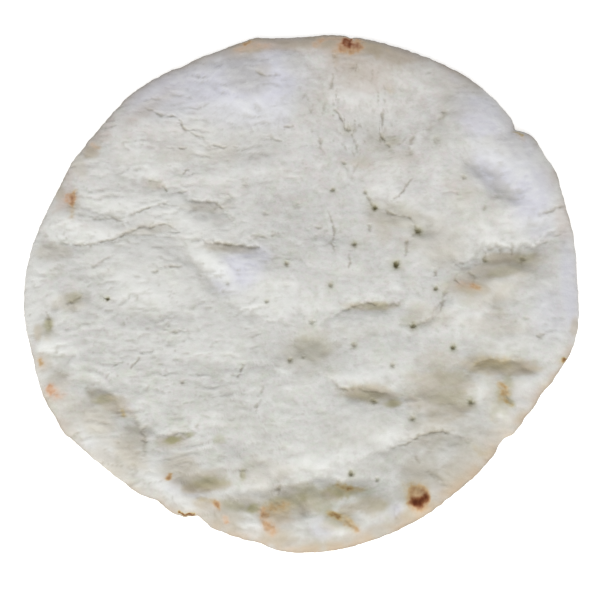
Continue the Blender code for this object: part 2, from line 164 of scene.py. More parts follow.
# Mounds: centre x and y, half-length, half-width, turn in degrees, height. A negative height is a hollow.
MOUNDS = {
    # the back
    "back_left_mound": (-32, 109, 20, 14, 0, 3.1),
    "back_left_mound_low": (-52, 96, 26, 13, 10, 1.2),
    "back_middle_mound": (-13, 121, 14, 9, 0, 1.8),
    "back_middle_ridge": (-6, 110, 14, 15, 0, 1.9),
    "back_right_mound": (28, 115, 18, 17, 0, 3.1),
    "back_right_mound_end": (52, 116, 18, 8, -15, 0.9),
    "back_right_dip": (76, 110, 14, 10, -20, -0.9),
    "back_left_hollow": (-21, 80, 22, 15, 10, -1.8),
    "back_right_hollow": (40, 89, 20, 12, 0, -1.6),
    "back_ridge": (-2, 88, 8, 15, 0, 1.2),
    # the upper left
    "upper_left_mound": (-90, 80, 14, 16, 10, 1.5),
    "upper_left_mound_low": (-77, 69, 13, 10, 0, 0.9),
    "upper_left_mound_high": (-76, 87, 14, 9, 20, 1.0),
    "left_rim_mound": (-108, 58, 9, 14, -15, 1.3),
    "left_inner_mound": (-100, 46, 16, 9, 0, 1.0),
    "upper_left_dip": (-80, 53, 17, 6, -10, -0.5),
    "upper_left_swale": (-50, 67, 12, 9, 0, -0.6),
    "upper_ridge": (-28, 63, 18, 6, 0, 0.5),
    "fold_hollow": (-47, 46, 15, 10, 0, -2.1),
    "middle_hollow": (-6, 50, 20, 18, 10, -2.1),
    "fold_bank": (-55, 31, 18, 9, -40, 1.7),
    "left_dip": (-85, 33, 26, 6, -5, -0.6),
    # the left
    "left_mound": (-79, 8, 26, 17, -8, 2.0),
    "left_edge_dimple": (-122, 50, 7, 8, 0, -1.4),
    "left_edge_mound": (-121, 33, 7, 8, 0, 1.7),
    "left_side_mound": (-108, 30, 9, 8, 0, 1.3),
    "left_edge_valley": (-127, 21, 16, 9, 0, -1.7),
    "left_edge_mound_low": (-134, 7, 8, 14, 0, 0.9),
    "left_low_mound": (-119, -22, 9, 26, 8, 1.8),
    "left_side_dent": (-132, -18, 5, 9, 0, -1.3),
    "left_low_dent": (-117, -8, 7, 6, 0, -1.4),
    "left_low_bump": (-131, -33, 5, 5, 0, 1.2),
    "left_low_dimple": (-125, -45, 9, 10, 0, -2.0),
    "strip_valley": (-58, 11, 24, 7, -45, -1.4),
    "left_hollow": (-83, -17, 24, 9, -8, -1.7),
    "left_far_hollow": (-105, 3, 14, 14, -30, -1.5),
    "left_low_hollow": (-90, -38, 22, 18, 0, -1.0),
    "left_low_hollow_end": (-89, -57, 8, 7, 0, -0.9),
    "lower_left_mound": (-47, -27, 20, 12, 0, 0.6),
    "lower_left_swale": (-45, -46, 24, 6, 0, -1.1),
    "lower_left_rise": (-46, -67, 12, 10, 0, 1.2),
    "lower_left_dip": (-64, -68, 8, 12, 20, -0.9),
    # the middle
    "centre_crest": (-38, 11, 20, 9, -20, 2.8),
    "pocket_rise": (-26, 15, 12, 7, 0, 1.0),
    "centre_crest_end": (-17, 2, 18, 10, 0, 1.3),
    "centre_mound": (-2, 6, 32, 19, 5, 2.0),
    "centre_mound_right": (18, 14, 15, 10, 0, 1.3),
    "centre_hollow": (5, -28, 17, 13, 0, -2.3),
    "centre_dip": (4, -14, 9, 9, 0, -0.8),
    "centre_hollow_left": (-20, -30, 14, 18, 10, -1.5),
    "ledge_hollow": (33, -13, 22, 7, 8, -1.0),
    "pin_rise": (62, 14, 9, 14, -10, 1.7),
    "pin_rise_left": (47, 0, 6, 6, 0, 0.8),
    "right_dip": (46, 41, 15, 8, -20, -2.1),
    "right_dip_end": (64, 34, 8, 10, 0, -1.6),
    "upper_middle_mound": (44, 66, 14, 12, 0, 1.8),
    "upper_middle_mound_left": (26, 63, 9, 8, 0, 0.9),
    # the right
    "right_shoulder": (75, 72, 14, 22, 0, 2.6),
    "right_shoulder_high": (92, 86, 20, 16, -10, 1.9),
    "right_dimple": (103, 56, 19, 9, -38, -2.1),
    "right_shoulder_low": (90, 51, 12, 14, 0, 2.2),
    "right_crest": (104, 38, 20, 8, 0, 0.6),
    "right_rim_mound": (119, 63, 11, 20, 15, 1.7),
    "right_valley": (106, 19, 40, 14, 16, -4.0),
    "right_valley_start": (76, 28, 16, 7, 0, -0.9),
    "right_valley_end": (126, 35, 12, 9, 20, -1.2),
    "right_fold_crest": (90, -10, 17, 10, 15, 2.2),
    "right_crest_gap": (101, -12, 7, 8, 0, -1.0),
    "right_fold_crest_far": (113, 0, 22, 9, 0, 2.2),
    "right_fold_end": (121, -15, 11, 14, -25, 2.0),
    "right_pin_hollow": (61, -20, 10, 7, 20, -1.4),
    "right_branch_dip": (74, -8, 6, 10, 0, -0.9),
    "right_low_hollow": (78, -37, 22, 14, 0, -2.7),
    "right_arc_hollow": (110, -42, 20, 8, -5, -1.8),
    "right_low_mound": (44, -39, 24, 9, 0, 0.8),
    "right_low_mound_high": (38, -23, 20, 7, 0, 0.9),
    # the front
    "lower_mound": (4, -66, 30, 24, 0, 1.4),
    "lower_mound_crest": (3, -52, 18, 11, 0, 1.9),
    "lower_mound_side": (24, -49, 9, 8, 0, 0.8),
    "lower_right_mound": (39, -73, 18, 11, 5, 2.3),
    "lower_ledge_hollow": (42, -58, 26, 7, 0, -1.8),
    "lower_right_hollow": (69, -52, 18, 13, 0, -2.2),
    "pin_hollow": (57, -72, 6, 7, 0, -1.3),
    "blister": (94, -54, 11, 10, 30, 2.3),
    "blister_side": (113, -55, 8, 7, 0, 1.2),
    "blister_foot": (104, -67, 8, 7, 0, 1.6),
    "blister_dip": (96, -75, 9, 7, 0, -0.9),
    "rim_bump": (78, -74, 15, 7, 10, 1.5),
    "rim_bump_low": (73, -89, 12, 8, 20, 1.0),
    "crease_hollow": (52, -84, 20, 7, 12, -0.7),
    "crease_swale": (38, -94, 26, 7, 12, -1.0),
    "crease_hollow_low": (57, -102, 10, 13, 0, -2.0),
    "burnt_blister": (59, -119, 8, 7, 0, 2.4),
    "front_valley_left": (-8, -107, 24, 9, 12, -3.2),
    "front_valley_right": (24, -104, 20, 9, 6, -3.0),
    "front_valley_end": (24, -92, 22, 7, 18, -1.0),
    "front_valley_bank": (-9, -97, 15, 9, 0, -1.5),
    "front_left_pit": (-32, -115, 14, 6, 10, -1.2),
    "front_pit": (-17, -119, 8, 6, 0, -1.3),
    "front_mound_left": (-6, -128, 16, 8, 0, 1.2),
    "front_mound": (22, -129, 14, 6, -10, 1.2),
    "front_gap": (6, -129, 6, 7, 0, -1.0),
    "front_mound_right": (34, -120, 12, 6, 10, 1.1),
    "front_rise_left": (-20, -103, 8, 6, 0, 1.0),
    "front_rise_far": (-38, -99, 8, 8, 0, 0.9),
    "front_left_hollow": (-49, -98, 14, 11, -30, -1.6),
    "front_left_dip": (-52, -84, 22, 11, -5, -1.2),
    "front_left_dip_end": (-28, -93, 8, 12, 10, -0.9),
    "front_left_bump": (-74, -86, 9, 8, 0, 0.8),
    "front_left_swale": (-84, -70, 16, 9, -40, -1.0),
    "front_left_rim_dip": (-105, -56, 14, 5, 0, -1.4),
    "front_left_rim_hollow": (-116, -67, 8, 8, 0, -0.8),
    "front_left_rim_mound": (-101, -71, 13, 9, -25, 1.8),
    "front_left_rim_ridge": (-82, -92, 20, 9, -40, 1.2),
    "front_left_rim_end": (-60, -113, 15, 7, -30, 1.4),
}

# Small steps in the skin: x, y, half the length, half the width, and the slope at the middle,
# which climbs to the back where it is above zero.
STEPS = [
    (61, 29, 7, 5.5, 0.12), (42, 40, 7, 5.5, 0.12), (-18, 92, 7, 5.5, 0.11), (-98, -65, 6, 5, 0.1),
    (100, -10, 7, 5, 0.2), (-130, -23, 5, 5, 0.08), (72, -88, 8, 5, -0.1), (62, -102, 8, 5, -0.1),
    (83, 41, 6, 5, 0.08), (80, -40, 7, 5, -0.1), (-126, -46, 5, 5, 0.1), (43, -76, 7, 5, -0.1),
    (-107, -58, 6, 5, 0.1), (-118, -80, 5, 4, 0.1), (124, -38, 6, 5, -0.1), (58, -123, 6, 4, -0.08),
]

# Folds: the bottom line of a groove, its depth, and how far its left and right banks reach,
# seen along the line.
FOLDS = {
    "left_ledge": (
        [(-136, 21), (-125, 20), (-111, 19), (-100, 22), (-89, 27), (-78, 30), (-71, 31), (-65, 27)],
        1.1, 2.0, 5.0,
    ),
    "left_small_ledge": ([(-112, 36), (-103, 36), (-93, 37)], 0.7, 1.8, 4.0),
    "left_step": ([(-84, 56), (-76, 54), (-70, 50), (-59, 49)], 0.9, 1.8, 4.5),
    "left_line": ([(-92, 36.5), (-84, 39), (-78, 40.5), (-70, 41.5)], 0.6, 1.5, 3.5),
    "pocket": ([(-51, 20), (-41, 19.5), (-32, 18.5), (-22, 18)], 1.6, 1.6, 5.0),
    "upper_left_fold": ([(-59, 44), (-47, 44), (-41, 39), (-36, 31)], 1.0, 1.8, 4.0),
    "strip_foot": ([(-60, 14), (-52, 3), (-40, -8), (-30, -17), (-16, -22), (2, -23)], 0.7, 3.0, 4.0),
    "centre_ledge": ([(10, -23), (17, -19), (26, -13.5), (36, -12), (44, -13), (55, -12)], 1.2, 2.0, 4.5),
    "centre_pit": ([(-4, -32), (5, -31), (14, -36)], 0.8, 3.0, 5.0),
    "lower_ledge": ([(13, -52), (20, -57), (32, -58), (42, -60), (52, -63), (62, -62)], 1.2, 2.5, 5.0),
    "right_valley": (
        [(80, 9), (90, 13), (97, 19), (105, 20), (113, 18.5), (120, 19.5), (128, 23.5), (142, 28.5)],
        1.6, 2.2, 6.0,
    ),
    "right_dimple_line": ([(97, 63), (105, 55), (112, 49), (119, 45)], 0.6, 3.0, 6.0),
    "right_branch": ([(60, -24), (68, -19), (74, -11), (77, -2)], 0.8, 2.5, 3.0),
    "right_blister_arc": (
        [(86, -49), (93, -44), (101, -41), (108, -42), (115, -46.5), (122, -51.5)],
        1.2, 1.8, 4.5,
    ),
    "right_crease": (
        [(22, -98), (32, -95), (45, -89), (57, -84), (66, -80), (76, -80), (86, -86)],
        1.1, 2.2, 4.5,
    ),
    "front_valley": (
        [(-22, -113), (-14, -109), (-2, -107), (12, -105), (24, -104), (36, -104)],
        1.2, 2.5, 5.0,
    ),
    "front_left_fold": ([(-76, -84), (-67, -82), (-56, -80)], 1.0, 2.0, 4.0),
    "left_front_valley": ([(-112, -58), (-103, -58), (-95, -63), (-87, -71), (-79, -81)], 1.0, 2.5, 5.0),
    "blister_gap": ([(-61, -106.5), (-51, -102.5), (-41, -104.5)], 0.7, 2.2, 4.5),
    "blister_seam": ([(1, -108), (2, -125)], 1.2, 2.5, 2.5),
    "blister_seam_left": ([(-21, -117), (-18, -124), (-16, -131)], 1.0, 2.5, 2.5),
}

# Creases: thin ragged cracks in the dried skin, each with its line, depth and half-width. Some run
# along the bottom of a fold.
CREASES = [
    ([(-82, 55), (-76, 53), (-70, 49), (-60, 48.5)], 0.7, 0.7),
    (FOLDS["pocket"][0], 0.9, 0.8),
    ([(-128, 20.5), (-111, 19.5), (-100, 22), (-89, 27), (-78, 29.5), (-71, 30.5), (-65, 26)], 0.6, 0.6),
    (FOLDS["upper_left_fold"][0], 0.5, 0.7),
    ([(17, -20), (26, -14), (36, -12.5), (44, -14), (55, -13)], 0.6, 0.7),
    ([(13, -52), (20, -57.5), (32, -58.5), (42, -61)], 0.6, 0.7),
    ([(45, -89), (57, -84.5), (66, -80), (76, -80), (86, -86)], 0.6, 0.6),
    ([(17, -122), (22, -125), (28, -129)], 0.5, 1.3),
    ([(-51, 75), (-42, 73.5), (-33, 75)], 1.0, 0.7),
    ([(-84, 96), (-75, 92), (-67, 90), (-62, 84), (-48, 75)], 0.7, 0.7),
    ([(14.5, 40), (17, 28), (17.5, 12)], 0.5, 0.6),
    ([(39, 40), (49, 36), (57, 35.5), (62, 27)], 0.7, 0.8),
    ([(62, 27), (56, 22), (54.5, 12)], 1.0, 0.8),
    ([(60, 57), (54, 49), (48, 44)], 0.5, 0.6),
    ([(-28.6, -43.4), (-30.4, -48), (-32.4, -53)], 1.2, 0.8),
    ([(76, -3), (72, -17), (64, -23), (58, -25)], 0.5, 0.7),
    ([(-75, -28), (-68, -27), (-60, -28)], 0.5, 0.9),
    ([(107, -23), (118, -21)], 0.6, 0.9),
    ([(121, -31), (129, -29)], 0.6, 0.8),
    ([(125, 34.5), (131, 37.5), (141.5, 43)], 0.8, 1.1),
    ([(124, 20), (139, 26)], 0.6, 0.9),
    ([(56, -91), (61, -96.5)], 0.4, 0.7), ([(62, -100.5), (67, -103), (73, -107)], 0.4, 1.6),
    ([(20, 101), (20, 95)], 0.7, 0.8),
    ([(17, 116), (16, 106)], 0.6, 0.7),
    ([(15, 103), (20, 93), (24, 84)], 0.9, 0.8),
    ([(26, 87), (30, 70)], 0.7, 0.7),
    ([(44, 103), (43, 83), (47, 74)], 0.8, 0.7),
    ([(10, 79), (11, 69)], 0.7, 0.8),
    ([(60, 84), (58.6, 77), (58, 68)], 0.6, 0.9),
    ([(-25, 115), (-11, 113)], 0.6, 0.8),
    (FOLDS["left_line"][0], 0.6, 0.7),
    ([(-110, 34), (-93, 33)], 0.5, 1.0),
    ([(-93, -42), (-97, -46), (-101, -53)], 0.6, 0.6),
    ([(-83, -40), (-88, -48)], 0.6, 0.6),
    ([(-72, 73), (-61, 73)], 0.9, 0.7),
    ([(-133, -17), (-130, -27)], 0.6, 0.9),
    ([(-122, -14), (-115, -8)], 0.6, 1.0),
    ([(-19.4, -55), (-21.6, -63), (-23, -70)], 0.6, 0.8),
    ([(102, -56), (104.5, -59), (107, -67)], 0.7, 0.9),
    ([(-12, -112), (-10, -106)], 0.6, 0.7),
    ([(-110, 8), (-104, 11), (-98, 14)], 0.4, 0.7),
    ([(-78, 4), (-70, 6), (-62, 7)], 0.7, 0.7),
    ([(-27, 24), (-10, 24)], 0.4, 0.8),
    ([(47, -117), (48.6, -127)], 0.5, 1.0),
    ([(96.5, 12), (98, 18)], 0.5, 0.8),
    ([(104.5, 15), (105, 21)], 0.4, 0.9),
    ([(110.5, 14), (111.5, 22)], 0.4, 0.9),
    ([(99, 18), (104, 20), (110, 21)], 0.3, 0.9),
    ([(80, 8.5), (86, 9.5), (93, 9)], 0.5, 0.8),
    ([(81, 5), (80.5, 0), (84, -3)], 0.45, 0.7),
    ([(88, 5), (91, 1), (89, -3)], 0.4, 0.7),
    ([(-65, 56.7), (-60.6, 61.5), (-55.4, 57)], 0.6, 0.7),
    ([(-20, 82), (-10, 77)], 0.5, 0.8),
    ([(-10.4, 86), (-4, 84.7)], 0.5, 0.8),
    ([(4, 28), (9, 29), (14, 26.5)], 0.5, 0.7),
    ([(25.4, 15), (25.4, 5.5)], 0.4, 0.6),
    ([(-86, -73), (-82, -77), (-79.6, -83), (-79.8, -94)], 0.4, 1.2),
    ([(-68.5, -82.6), (-63, -82), (-58, -80.2)], 1.0, 1.3),
    ([(-58, -80), (-51, -77)], 0.5, 0.8),
    ([(-30, -100), (-29.5, -103.5)], 0.6, 1.0),
    ([(33.5, 48.5), (35.7, 44.6), (38.6, 40.6)], 0.5, 0.8),
    ([(35.2, 30.5), (35, 26)], 0.7, 0.7),
    ([(69.5, 6), (70.5, 1)], 0.5, 0.9),
    ([(97.4, 41.5), (96.6, 37.5)], 0.35, 0.8),
    ([(66, 82), (73, 89), (79, 94)], 0.3, 1.2),
]

# Docking holes: x, y, the radius of the mouth, and how dark the hole's painted shade shows.
HOLE_DEPTH = 2.4
HOLES = [
    (-101, -10.2, 0.8, 0.8), (-7.7, 8, 1.1, 0.5), (-18, -11.7, 1.0, 0.3), (-38.4, -2, 1.0, 0.2),
    (17, 49.7, 1.2, 0.45), (34, 48.3, 1.1, 0.3), (39, 40, 1.2, 0.85), (61.8, 27, 1.5, 0.85),
    (28.1, 19.3, 1.3, 0.6), (49.8, 8.3, 1.5, 1.0), (15.5, -3, 1.3, 0.42), (70.2, -4.7, 1.1, 0.55),
    (5.4, -22.4, 1.2, 0.26), (58.1, -25, 1.3, 0.72), (27.4, -35, 1.2, 0.45), (78.8, -35.6, 1.2, 0.72),
    (-5.6, -43.5, 1.2, 0.42), (0.9, -41.6, 0.9, 0.25), (47, -45.8, 1.2, 0.35), (-61, -54.7, 0.9, 0.25),
    (37, -64.7, 1.3, 0.6), (86.8, -65, 1.4, 0.66), (56.9, -73.7, 1.2, 0.42), (25.5, -101.4, 1.2, 0.7),
    (38.5, -104.8, 1.0, 0.3), (97, 11.4, 1.2, 0.4), (116.5, 12, 1.8, 0.48), (86.3, 56, 1.2, 0.28),
    (76.6, 93.3, 1.2, 0.22), (25, 84, 1.5, 0.28), (43.4, 78.7, 1.3, 0.3), (46.7, 74.6, 1.3, 0.28),
    (28.4, 118.4, 2.0, 0.16), (22.7, 64.3, 1.2, 0.3), (18.5, 125.4, 1.4, 0.18), (-38.6, 45, 1.8, 0.16),
    (-29.5, 52, 1.8, 0.14), (-19, 36.5, 1.5, 0.14), (-2.5, 41.5, 2.0, 0.16), (82.6, 47.4, 1.0, 0.12),
    (72.5, 77, 1.7, 0.18),
]

# Toasted marks: the line each follows, its half-width, how brown it is, and its tint, from 0 for
# olive brown to 1 for red brown.
TOASTED = [
    # the burnt blister at the front right
    ([(56.4, -116.6), (59.4, -117.6)], 2.3, 0.97, 0.6),
    ([(58.6, -116.4), (62.6, -114.2)], 1.9, 0.93, 0.6),
    ([(55.4, -110.4), (55.4, -113.6)], 1.3, 0.3, 0.4), ([(62, -110.4), (62.8, -112.4)], 1.3, 0.24, 0.3),
    ([(58, -112), (61, -111.5)], 2.8, 0.26, 0.6), ([(57, -108.4), (61, -109.2)], 1.8, 0.24, 0.3),
    ([(57, -121), (64, -119.6)], 2.4, 0.18, 0.5), ([(53, -108.5), (53.2, -117)], 2.6, 0.16, 0.0),
    ([(58.6, -108), (59.6, -113)], 5.4, 0.15, 0.2),
    # the pink stain on the right
    ([(85, -5.5), (92, -4)], 3.2, 0.1, 0.0), ([(89.5, -4.6), (92.4, -5.2)], 1.6, 0.26, 0.7),
    ([(83, -2.4), (88, -3)], 2.6, 0.16, 1.0),
    # the ring and its halo at the back
    ([(20.4, 132.4), (21.4, 129.6)], 2.4, 0.2, 0.9), ([(14, 128.6), (17, 129)], 2.6, 0.12, 0.8),
    ([(30.4, 137.4), (33, 136.6)], 1.6, 0.2, 0.9),
    ([(23.6, 136.9), (23, 135.6), (22.9, 134.2), (23.6, 132.8), (25, 132.2), (26.4, 132.4)], 1.0, 0.56, 0.9),
    ([(27.5, 138.8), (27.1, 136.6), (26.6, 134), (26.6, 131)], 0.8, 0.66, 0.8),
    ([(24, 137.2), (25.4, 137.7), (27.2, 137.4)], 1.0, 0.6, 0.9),
    ([(24.8, 135.4), (25.4, 134.2)], 2.2, 0.74, 0.95), ([(28, 133.6), (30, 132.4)], 2.2, 0.42, 1.0),
    ([(23.6, 130.4), (27, 129.6), (31, 130.6)], 3.4, 0.34, 0.7),
    ([(31.4, 133), (32.4, 131)], 1.8, 0.18, 0.7), ([(24.6, 127.8), (28, 127.4)], 2.6, 0.2, 0.6),
    # the star on the left edge
    ([(-121.4, 47.4), (-121, 41.6)], 1.3, 0.36, 0.6), ([(-124, 44.6), (-122.4, 43.6)], 2.4, 0.26, 1.0),
    ([(-119.6, 45), (-119, 44.6)], 1.5, 0.18, 0.8), ([(-120.6, 48.4), (-119.6, 49.6)], 0.9, 0.24, 0.4),
    ([(-124.6, 47), (-121.4, 46.4)], 1.2, 0.18, 0.8), ([(-124, 42.6), (-131, 38.6)], 2.8, 0.1, 1.0),
    ([(-120.8, 41), (-120.6, 33)], 1.4, 0.2, 0.3),
    # the rest of the left edge
    ([(-112.4, 75.6), (-109.6, 73.8)], 1.4, 0.2, 0.8), ([(-108.6, 73), (-107.4, 72.6)], 1.2, 0.2, 0.4),
    ([(-131.6, -30), (-131.2, -32)], 1.8, 0.12, 0.0),
    ([(-134.6, -43.6), (-134, -44.8)], 1.4, 0.32, 0.2),
    ([(-134.6, -42.4), (-133.6, -45.8)], 2.6, 0.14, 0.8),
    ([(-129.2, -56.6), (-128.6, -59.8)], 1.4, 0.3, 1.0), ([(-128, -59), (-125.8, -61)], 3.4, 0.28, 1.0),
    ([(-123, -62.6), (-121, -62)], 1.6, 0.13, 1.0), ([(-99.2, -62.4), (-97.2, -63.2)], 1.4, 0.2, 0.3),
    # the front rim
    ([(-91.6, -69.4), (-90.6, -72)], 1.3, 0.28, 0.0),
    ([(-67.2, -104.4), (-65.6, -102.8)], 1.1, 0.46, 0.3),
    ([(-69, -103.4), (-67, -103.4)], 2.0, 0.12, 0.9),
    ([(-62, -122.3), (-59.6, -123.2), (-57, -123.1), (-54.6, -122.9)], 0.6, 0.86, 0.0),
    ([(-42.8, -117), (-41.6, -118.4)], 1.3, 0.48, 0.4),
    ([(-43, -117), (-41.4, -119.2)], 2.8, 0.12, 0.9), ([(-50.6, -115), (-45, -115.6)], 1.6, 0.2, 0.0),
    ([(-38, -124.8), (-37.4, -126.4)], 1.8, 0.3, 0.8),
    ([(-7, -117), (-14, -118.6), (-18, -121)], 2.4, 0.18, 0.2),
    ([(-19.6, -121.2), (-18.8, -122.8)], 2.4, 0.26, 0.8),
    ([(-19.2, -125), (-17.6, -128)], 2.0, 0.16, 0.6),
    ([(-16.4, -129), (-14.4, -131.2)], 2.9, 0.36, 0.7),
    ([(14.8, -122.2), (18, -123.6)], 1.8, 0.54, 0.0), ([(20, -124), (23.4, -125.8)], 2.8, 0.25, 0.1),
    ([(23.4, -127), (27, -129.6)], 1.9, 0.28, 0.3), ([(28, -130.4), (29.2, -132)], 1.6, 0.18, 0.7),
    ([(-12, -124), (-8, -126)], 5, 0.08, 0.5), ([(-15, -119.6), (-8, -119)], 4.0, 0.2, 0.2),
    ([(18.6, -107.4), (22, -108.8), (24, -109.2)], 2.2, 0.34, 0.0),
    ([(24, -109.4), (31, -109.6)], 1.8, 0.26, 0.0),
    # the blister at the right, and the right edge
    ([(92, -44.6), (98, -43.6), (106, -44.4)], 3.6, 0.24, 0.0),
    ([(100.8, -55.4), (104.6, -57.6)], 1.2, 0.26, 0.2),
    ([(103.4, -57.6), (104.6, -60.4)], 2.4, 0.28, 0.3),
    ([(102.6, -61.4), (102.6, -64)], 2.6, 0.25, 0.1), ([(104.6, -64.8), (107, -67)], 1.1, 0.3, 0.0),
    ([(135.4, -43), (135.8, -42.4)], 0.9, 0.8, 0.0), ([(134, -44), (135, -43.4)], 1.8, 0.16, 0.1),
    ([(115.6, 82.6), (118.6, 80.4)], 1.2, 0.3, 0.0), ([(116.6, 79.4), (119, 77.6)], 1.8, 0.13, 0.8),
    ([(88, -88.5), (90.5, -92)], 1.8, 0.17, 0.1), ([(93.4, -91.5), (95.4, -90)], 1.8, 0.14, 0.1),
    ([(97.4, -74), (99.4, -75)], 1.6, 0.13, 0.2),
    # the back
    ([(18.4, 128), (19, 120)], 1.8, 0.13, 0.6), ([(8, 133), (10, 135.4)], 2.6, 0.27, 0.8),
    ([(12, 137), (22, 137.2)], 1.8, 0.22, 0.8), ([(31, 135.5), (48, 130.5)], 1.8, 0.16, 0.3),
    ([(47.4, 106.5), (48.4, 105)], 1.6, 0.13, 0.3),
    ([(-34, 130.6), (-27, 133), (-18, 132.4)], 3.4, 0.2, 1.0),
    ([(-31, 134.4), (-27.8, 135.8)], 1.2, 0.4, 0.3),
]


def rough(x, y, size_x, size_y, octaves, layer):
    """Roughness between about -1 and 1, with lumps of the given sizes along X and Y.

    Each octave is twice as fine and half as high as the last, and each layer number gives other lumps.
    """
    return np.array([
        noise.fractal(Vector((a / size_x, b / size_y, layer)), 1.0, 2.0, octaves) for a, b in zip(x, y)
    ])


def bell(distance, reach, power=2):
    """1 where there is no distance, fading out over the reach."""
    return np.exp(-((distance / reach) ** power))


def outline_radius(theta):
    """Distance from the centre to the outline, as one smooth curve through the outline's turns."""
    turns = np.array(OUTLINE, dtype=float)
    angle = np.radians(np.concatenate([turns[-2:, 0] - 360, turns[:, 0], turns[:3, 0] + 360]))
    radius = np.concatenate([turns[-2:, 1], turns[:, 1], turns[:3, 1]])
    tangent = np.gradient(radius, angle)
    theta = np.mod(theta, 2 * math.pi)
    start = np.searchsorted(angle, theta, side="right") - 1
    gap = angle[start + 1] - angle[start]
    t = (theta - angle[start]) / gap
    from_start = (2 * t**3 - 3 * t**2 + 1) * radius[start] + (t**3 - 2 * t**2 + t) * gap * tangent[start]
    to_end = (3 * t**2 - 2 * t**3) * radius[start + 1] + (t**3 - t**2) * gap * tangent[start + 1]
    return from_start + to_end


def inset_from_edge(x, y):
    """How far each point lies inside the outline."""
    return outline_radius(np.arctan2(y, x)) - np.hypot(x, y)


def follow_line(x, y, line):
    """Distance to the line, whether a point is on its left, and how far along it is, from 0 to 1."""
    nearest = np.full(x.shape, np.inf)
    side = np.zeros(x.shape)
    along = np.zeros(x.shape)
    walked = 0.0
    for (ax, ay), (bx, by) in zip(line, line[1:]):
        length = math.hypot(bx - ax, by - ay)
        ux = (bx - ax) / length
        uy = (by - ay) / length
        t = np.clip((x - ax) * ux + (y - ay) * uy, 0.0, length)
        distance = np.hypot(x - ax - t * ux, y - ay - t * uy)
        closer = distance < nearest
        turned = ux * (y - ay) - uy * (x - ax)
        nearest = np.where(closer, distance, nearest)
        side = np.where(closer, turned, side)
        along = np.where(closer, walked + t, along)
        walked += length
    return nearest, side > 0, along / walked


def fade_at_ends(along):
    """1 along most of a line, fading to 0 at both of its ends."""
    return np.sin(math.pi * np.clip(along, 0.0, 1.0)) ** FADE_POWER


def fold_height(x, y, line, depth, left_bank, right_bank):
    """Height that one fold takes away: a sharp groove with a bank on either side."""
    nearest, on_left, along = follow_line(x, y, line)
    bank = np.where(on_left, left_bank, right_bank)
    return -depth * fade_at_ends(along) * bell(nearest, bank, BANK_STEEPNESS)


def across_oval(x, y, centre_x, centre_y, half_length, half_width, turn):
    """Place in a turned oval, along and over it, which are both 1 or -1 at the oval's own ends."""
    cosine = math.cos(math.radians(turn))
    sine = math.sin(math.radians(turn))
    along = (x - centre_x) * cosine + (y - centre_y) * sine
    over = (y - centre_y) * cosine - (x - centre_x) * sine
    return along / half_length, over / half_width


def mound_height(x, y, centre_x, centre_y, half_length, half_width, turn, height):
    """Height that one mound or hollow adds: a smooth dome on an oval foot."""
    along, over = across_oval(x, y, centre_x, centre_y, half_length, half_width, turn)
    return height * np.clip(1.0 - (along**2 + over**2) / MOUND_FOOT, 0.0, None) ** 2


def step_height(x, y, centre_x, centre_y, half_length, half_width, slope):
    """Height that one small step adds: a slope towards the back that dies out over its oval foot."""
    foot = mound_height(x, y, centre_x, centre_y, half_length, half_width, 0.0, 1.0)
    return slope * (y - centre_y) * foot


def rim_height(x, y, inset):
    """The puffed rim: a swelling just inside the outline, higher towards -Y than towards +Y."""
    frontness = 0.5 - 0.5 * np.sin(np.arctan2(y, x))
    rise = RIM_RISE_BACK + (RIM_RISE_FRONT - RIM_RISE_BACK) * frontness
    return rise * bell(inset - RIM_CREST_INSET, RIM_SPREAD)


def top_height(x, y):
    """Height of the top above the table, before its edge is rounded and its fine relief is added."""
    height = CRUMB_HEIGHT + rim_height(x, y, inset_from_edge(x, y))
    bent_x = x + BEND * rough(x, y, *BEND_LUMPS, 91.0)
    bent_y = y + BEND * rough(x, y, *BEND_LUMPS, 95.0)
    torn_x = bent_x + TEAR * rough(x, y, *TEAR_LUMPS, 93.0)
    torn_y = bent_y + TEAR * rough(x, y, *TEAR_LUMPS, 97.0)
    for line, depth, left_bank, right_bank in FOLDS.values():
        height = height + fold_height(torn_x, torn_y, line, depth, left_bank, right_bank)
    for mound in MOUNDS.values():
        height = height + mound_height(bent_x, bent_y, *mound)
    for step in STEPS:
        height = height + step_height(bent_x, bent_y, *step)
    return height


# The mesh is one closed skin: rings of points from the middle out over the shoulder, down the side
# and back in under it. The rings are split finer where creases and docking holes need it.
MEAN_RADIUS = 141.0
RING_STEP = 1.02
RING_GROWTH = 6  # each ring has this many points more than the one inside it
SHOULDER_RINGS = 11
SIDE_RINGS = 6
UNDERSIDE_STEP = 3.2
CREASE_REACH = 1.5  # points this near a crease are closer together
HOLE_REACH = 2.6
INNER_HOLE_REACH = 1.6
TOAST_REACH = 0.8
SHARP_BROWNING = 0.19  # paler marks than this have soft edges and need no finer mesh
RIGHT_ANGLE = math.pi / 2

flat_rings = round((MEAN_RADIUS - EDGE_ROUND) / RING_STEP)


def ring_points(count, radius_at):
    """One ring of points in plan. radius_at(theta) gives each point's distance from the centre."""
    theta = np.arange(count) * 2 * math.pi / count
    radius = radius_at(theta)
    return np.column_stack([radius * np.cos(theta), radius * np.sin(theta)])


def fill_between(faces, inner, outer):
    """Triangles between two rings of point numbers, also where one has more points."""
    i = 0
    o = 0
    while i < len(inner) or o < len(outer):
        if o * len(inner) <= i * len(outer):
            faces.append((inner[i % len(inner)], outer[o % len(outer)], outer[(o + 1) % len(outer)]))
            o += 1
        else:
            faces.append((inner[i % len(inner)], outer[o % len(outer)], inner[(i + 1) % len(inner)]))
            i += 1


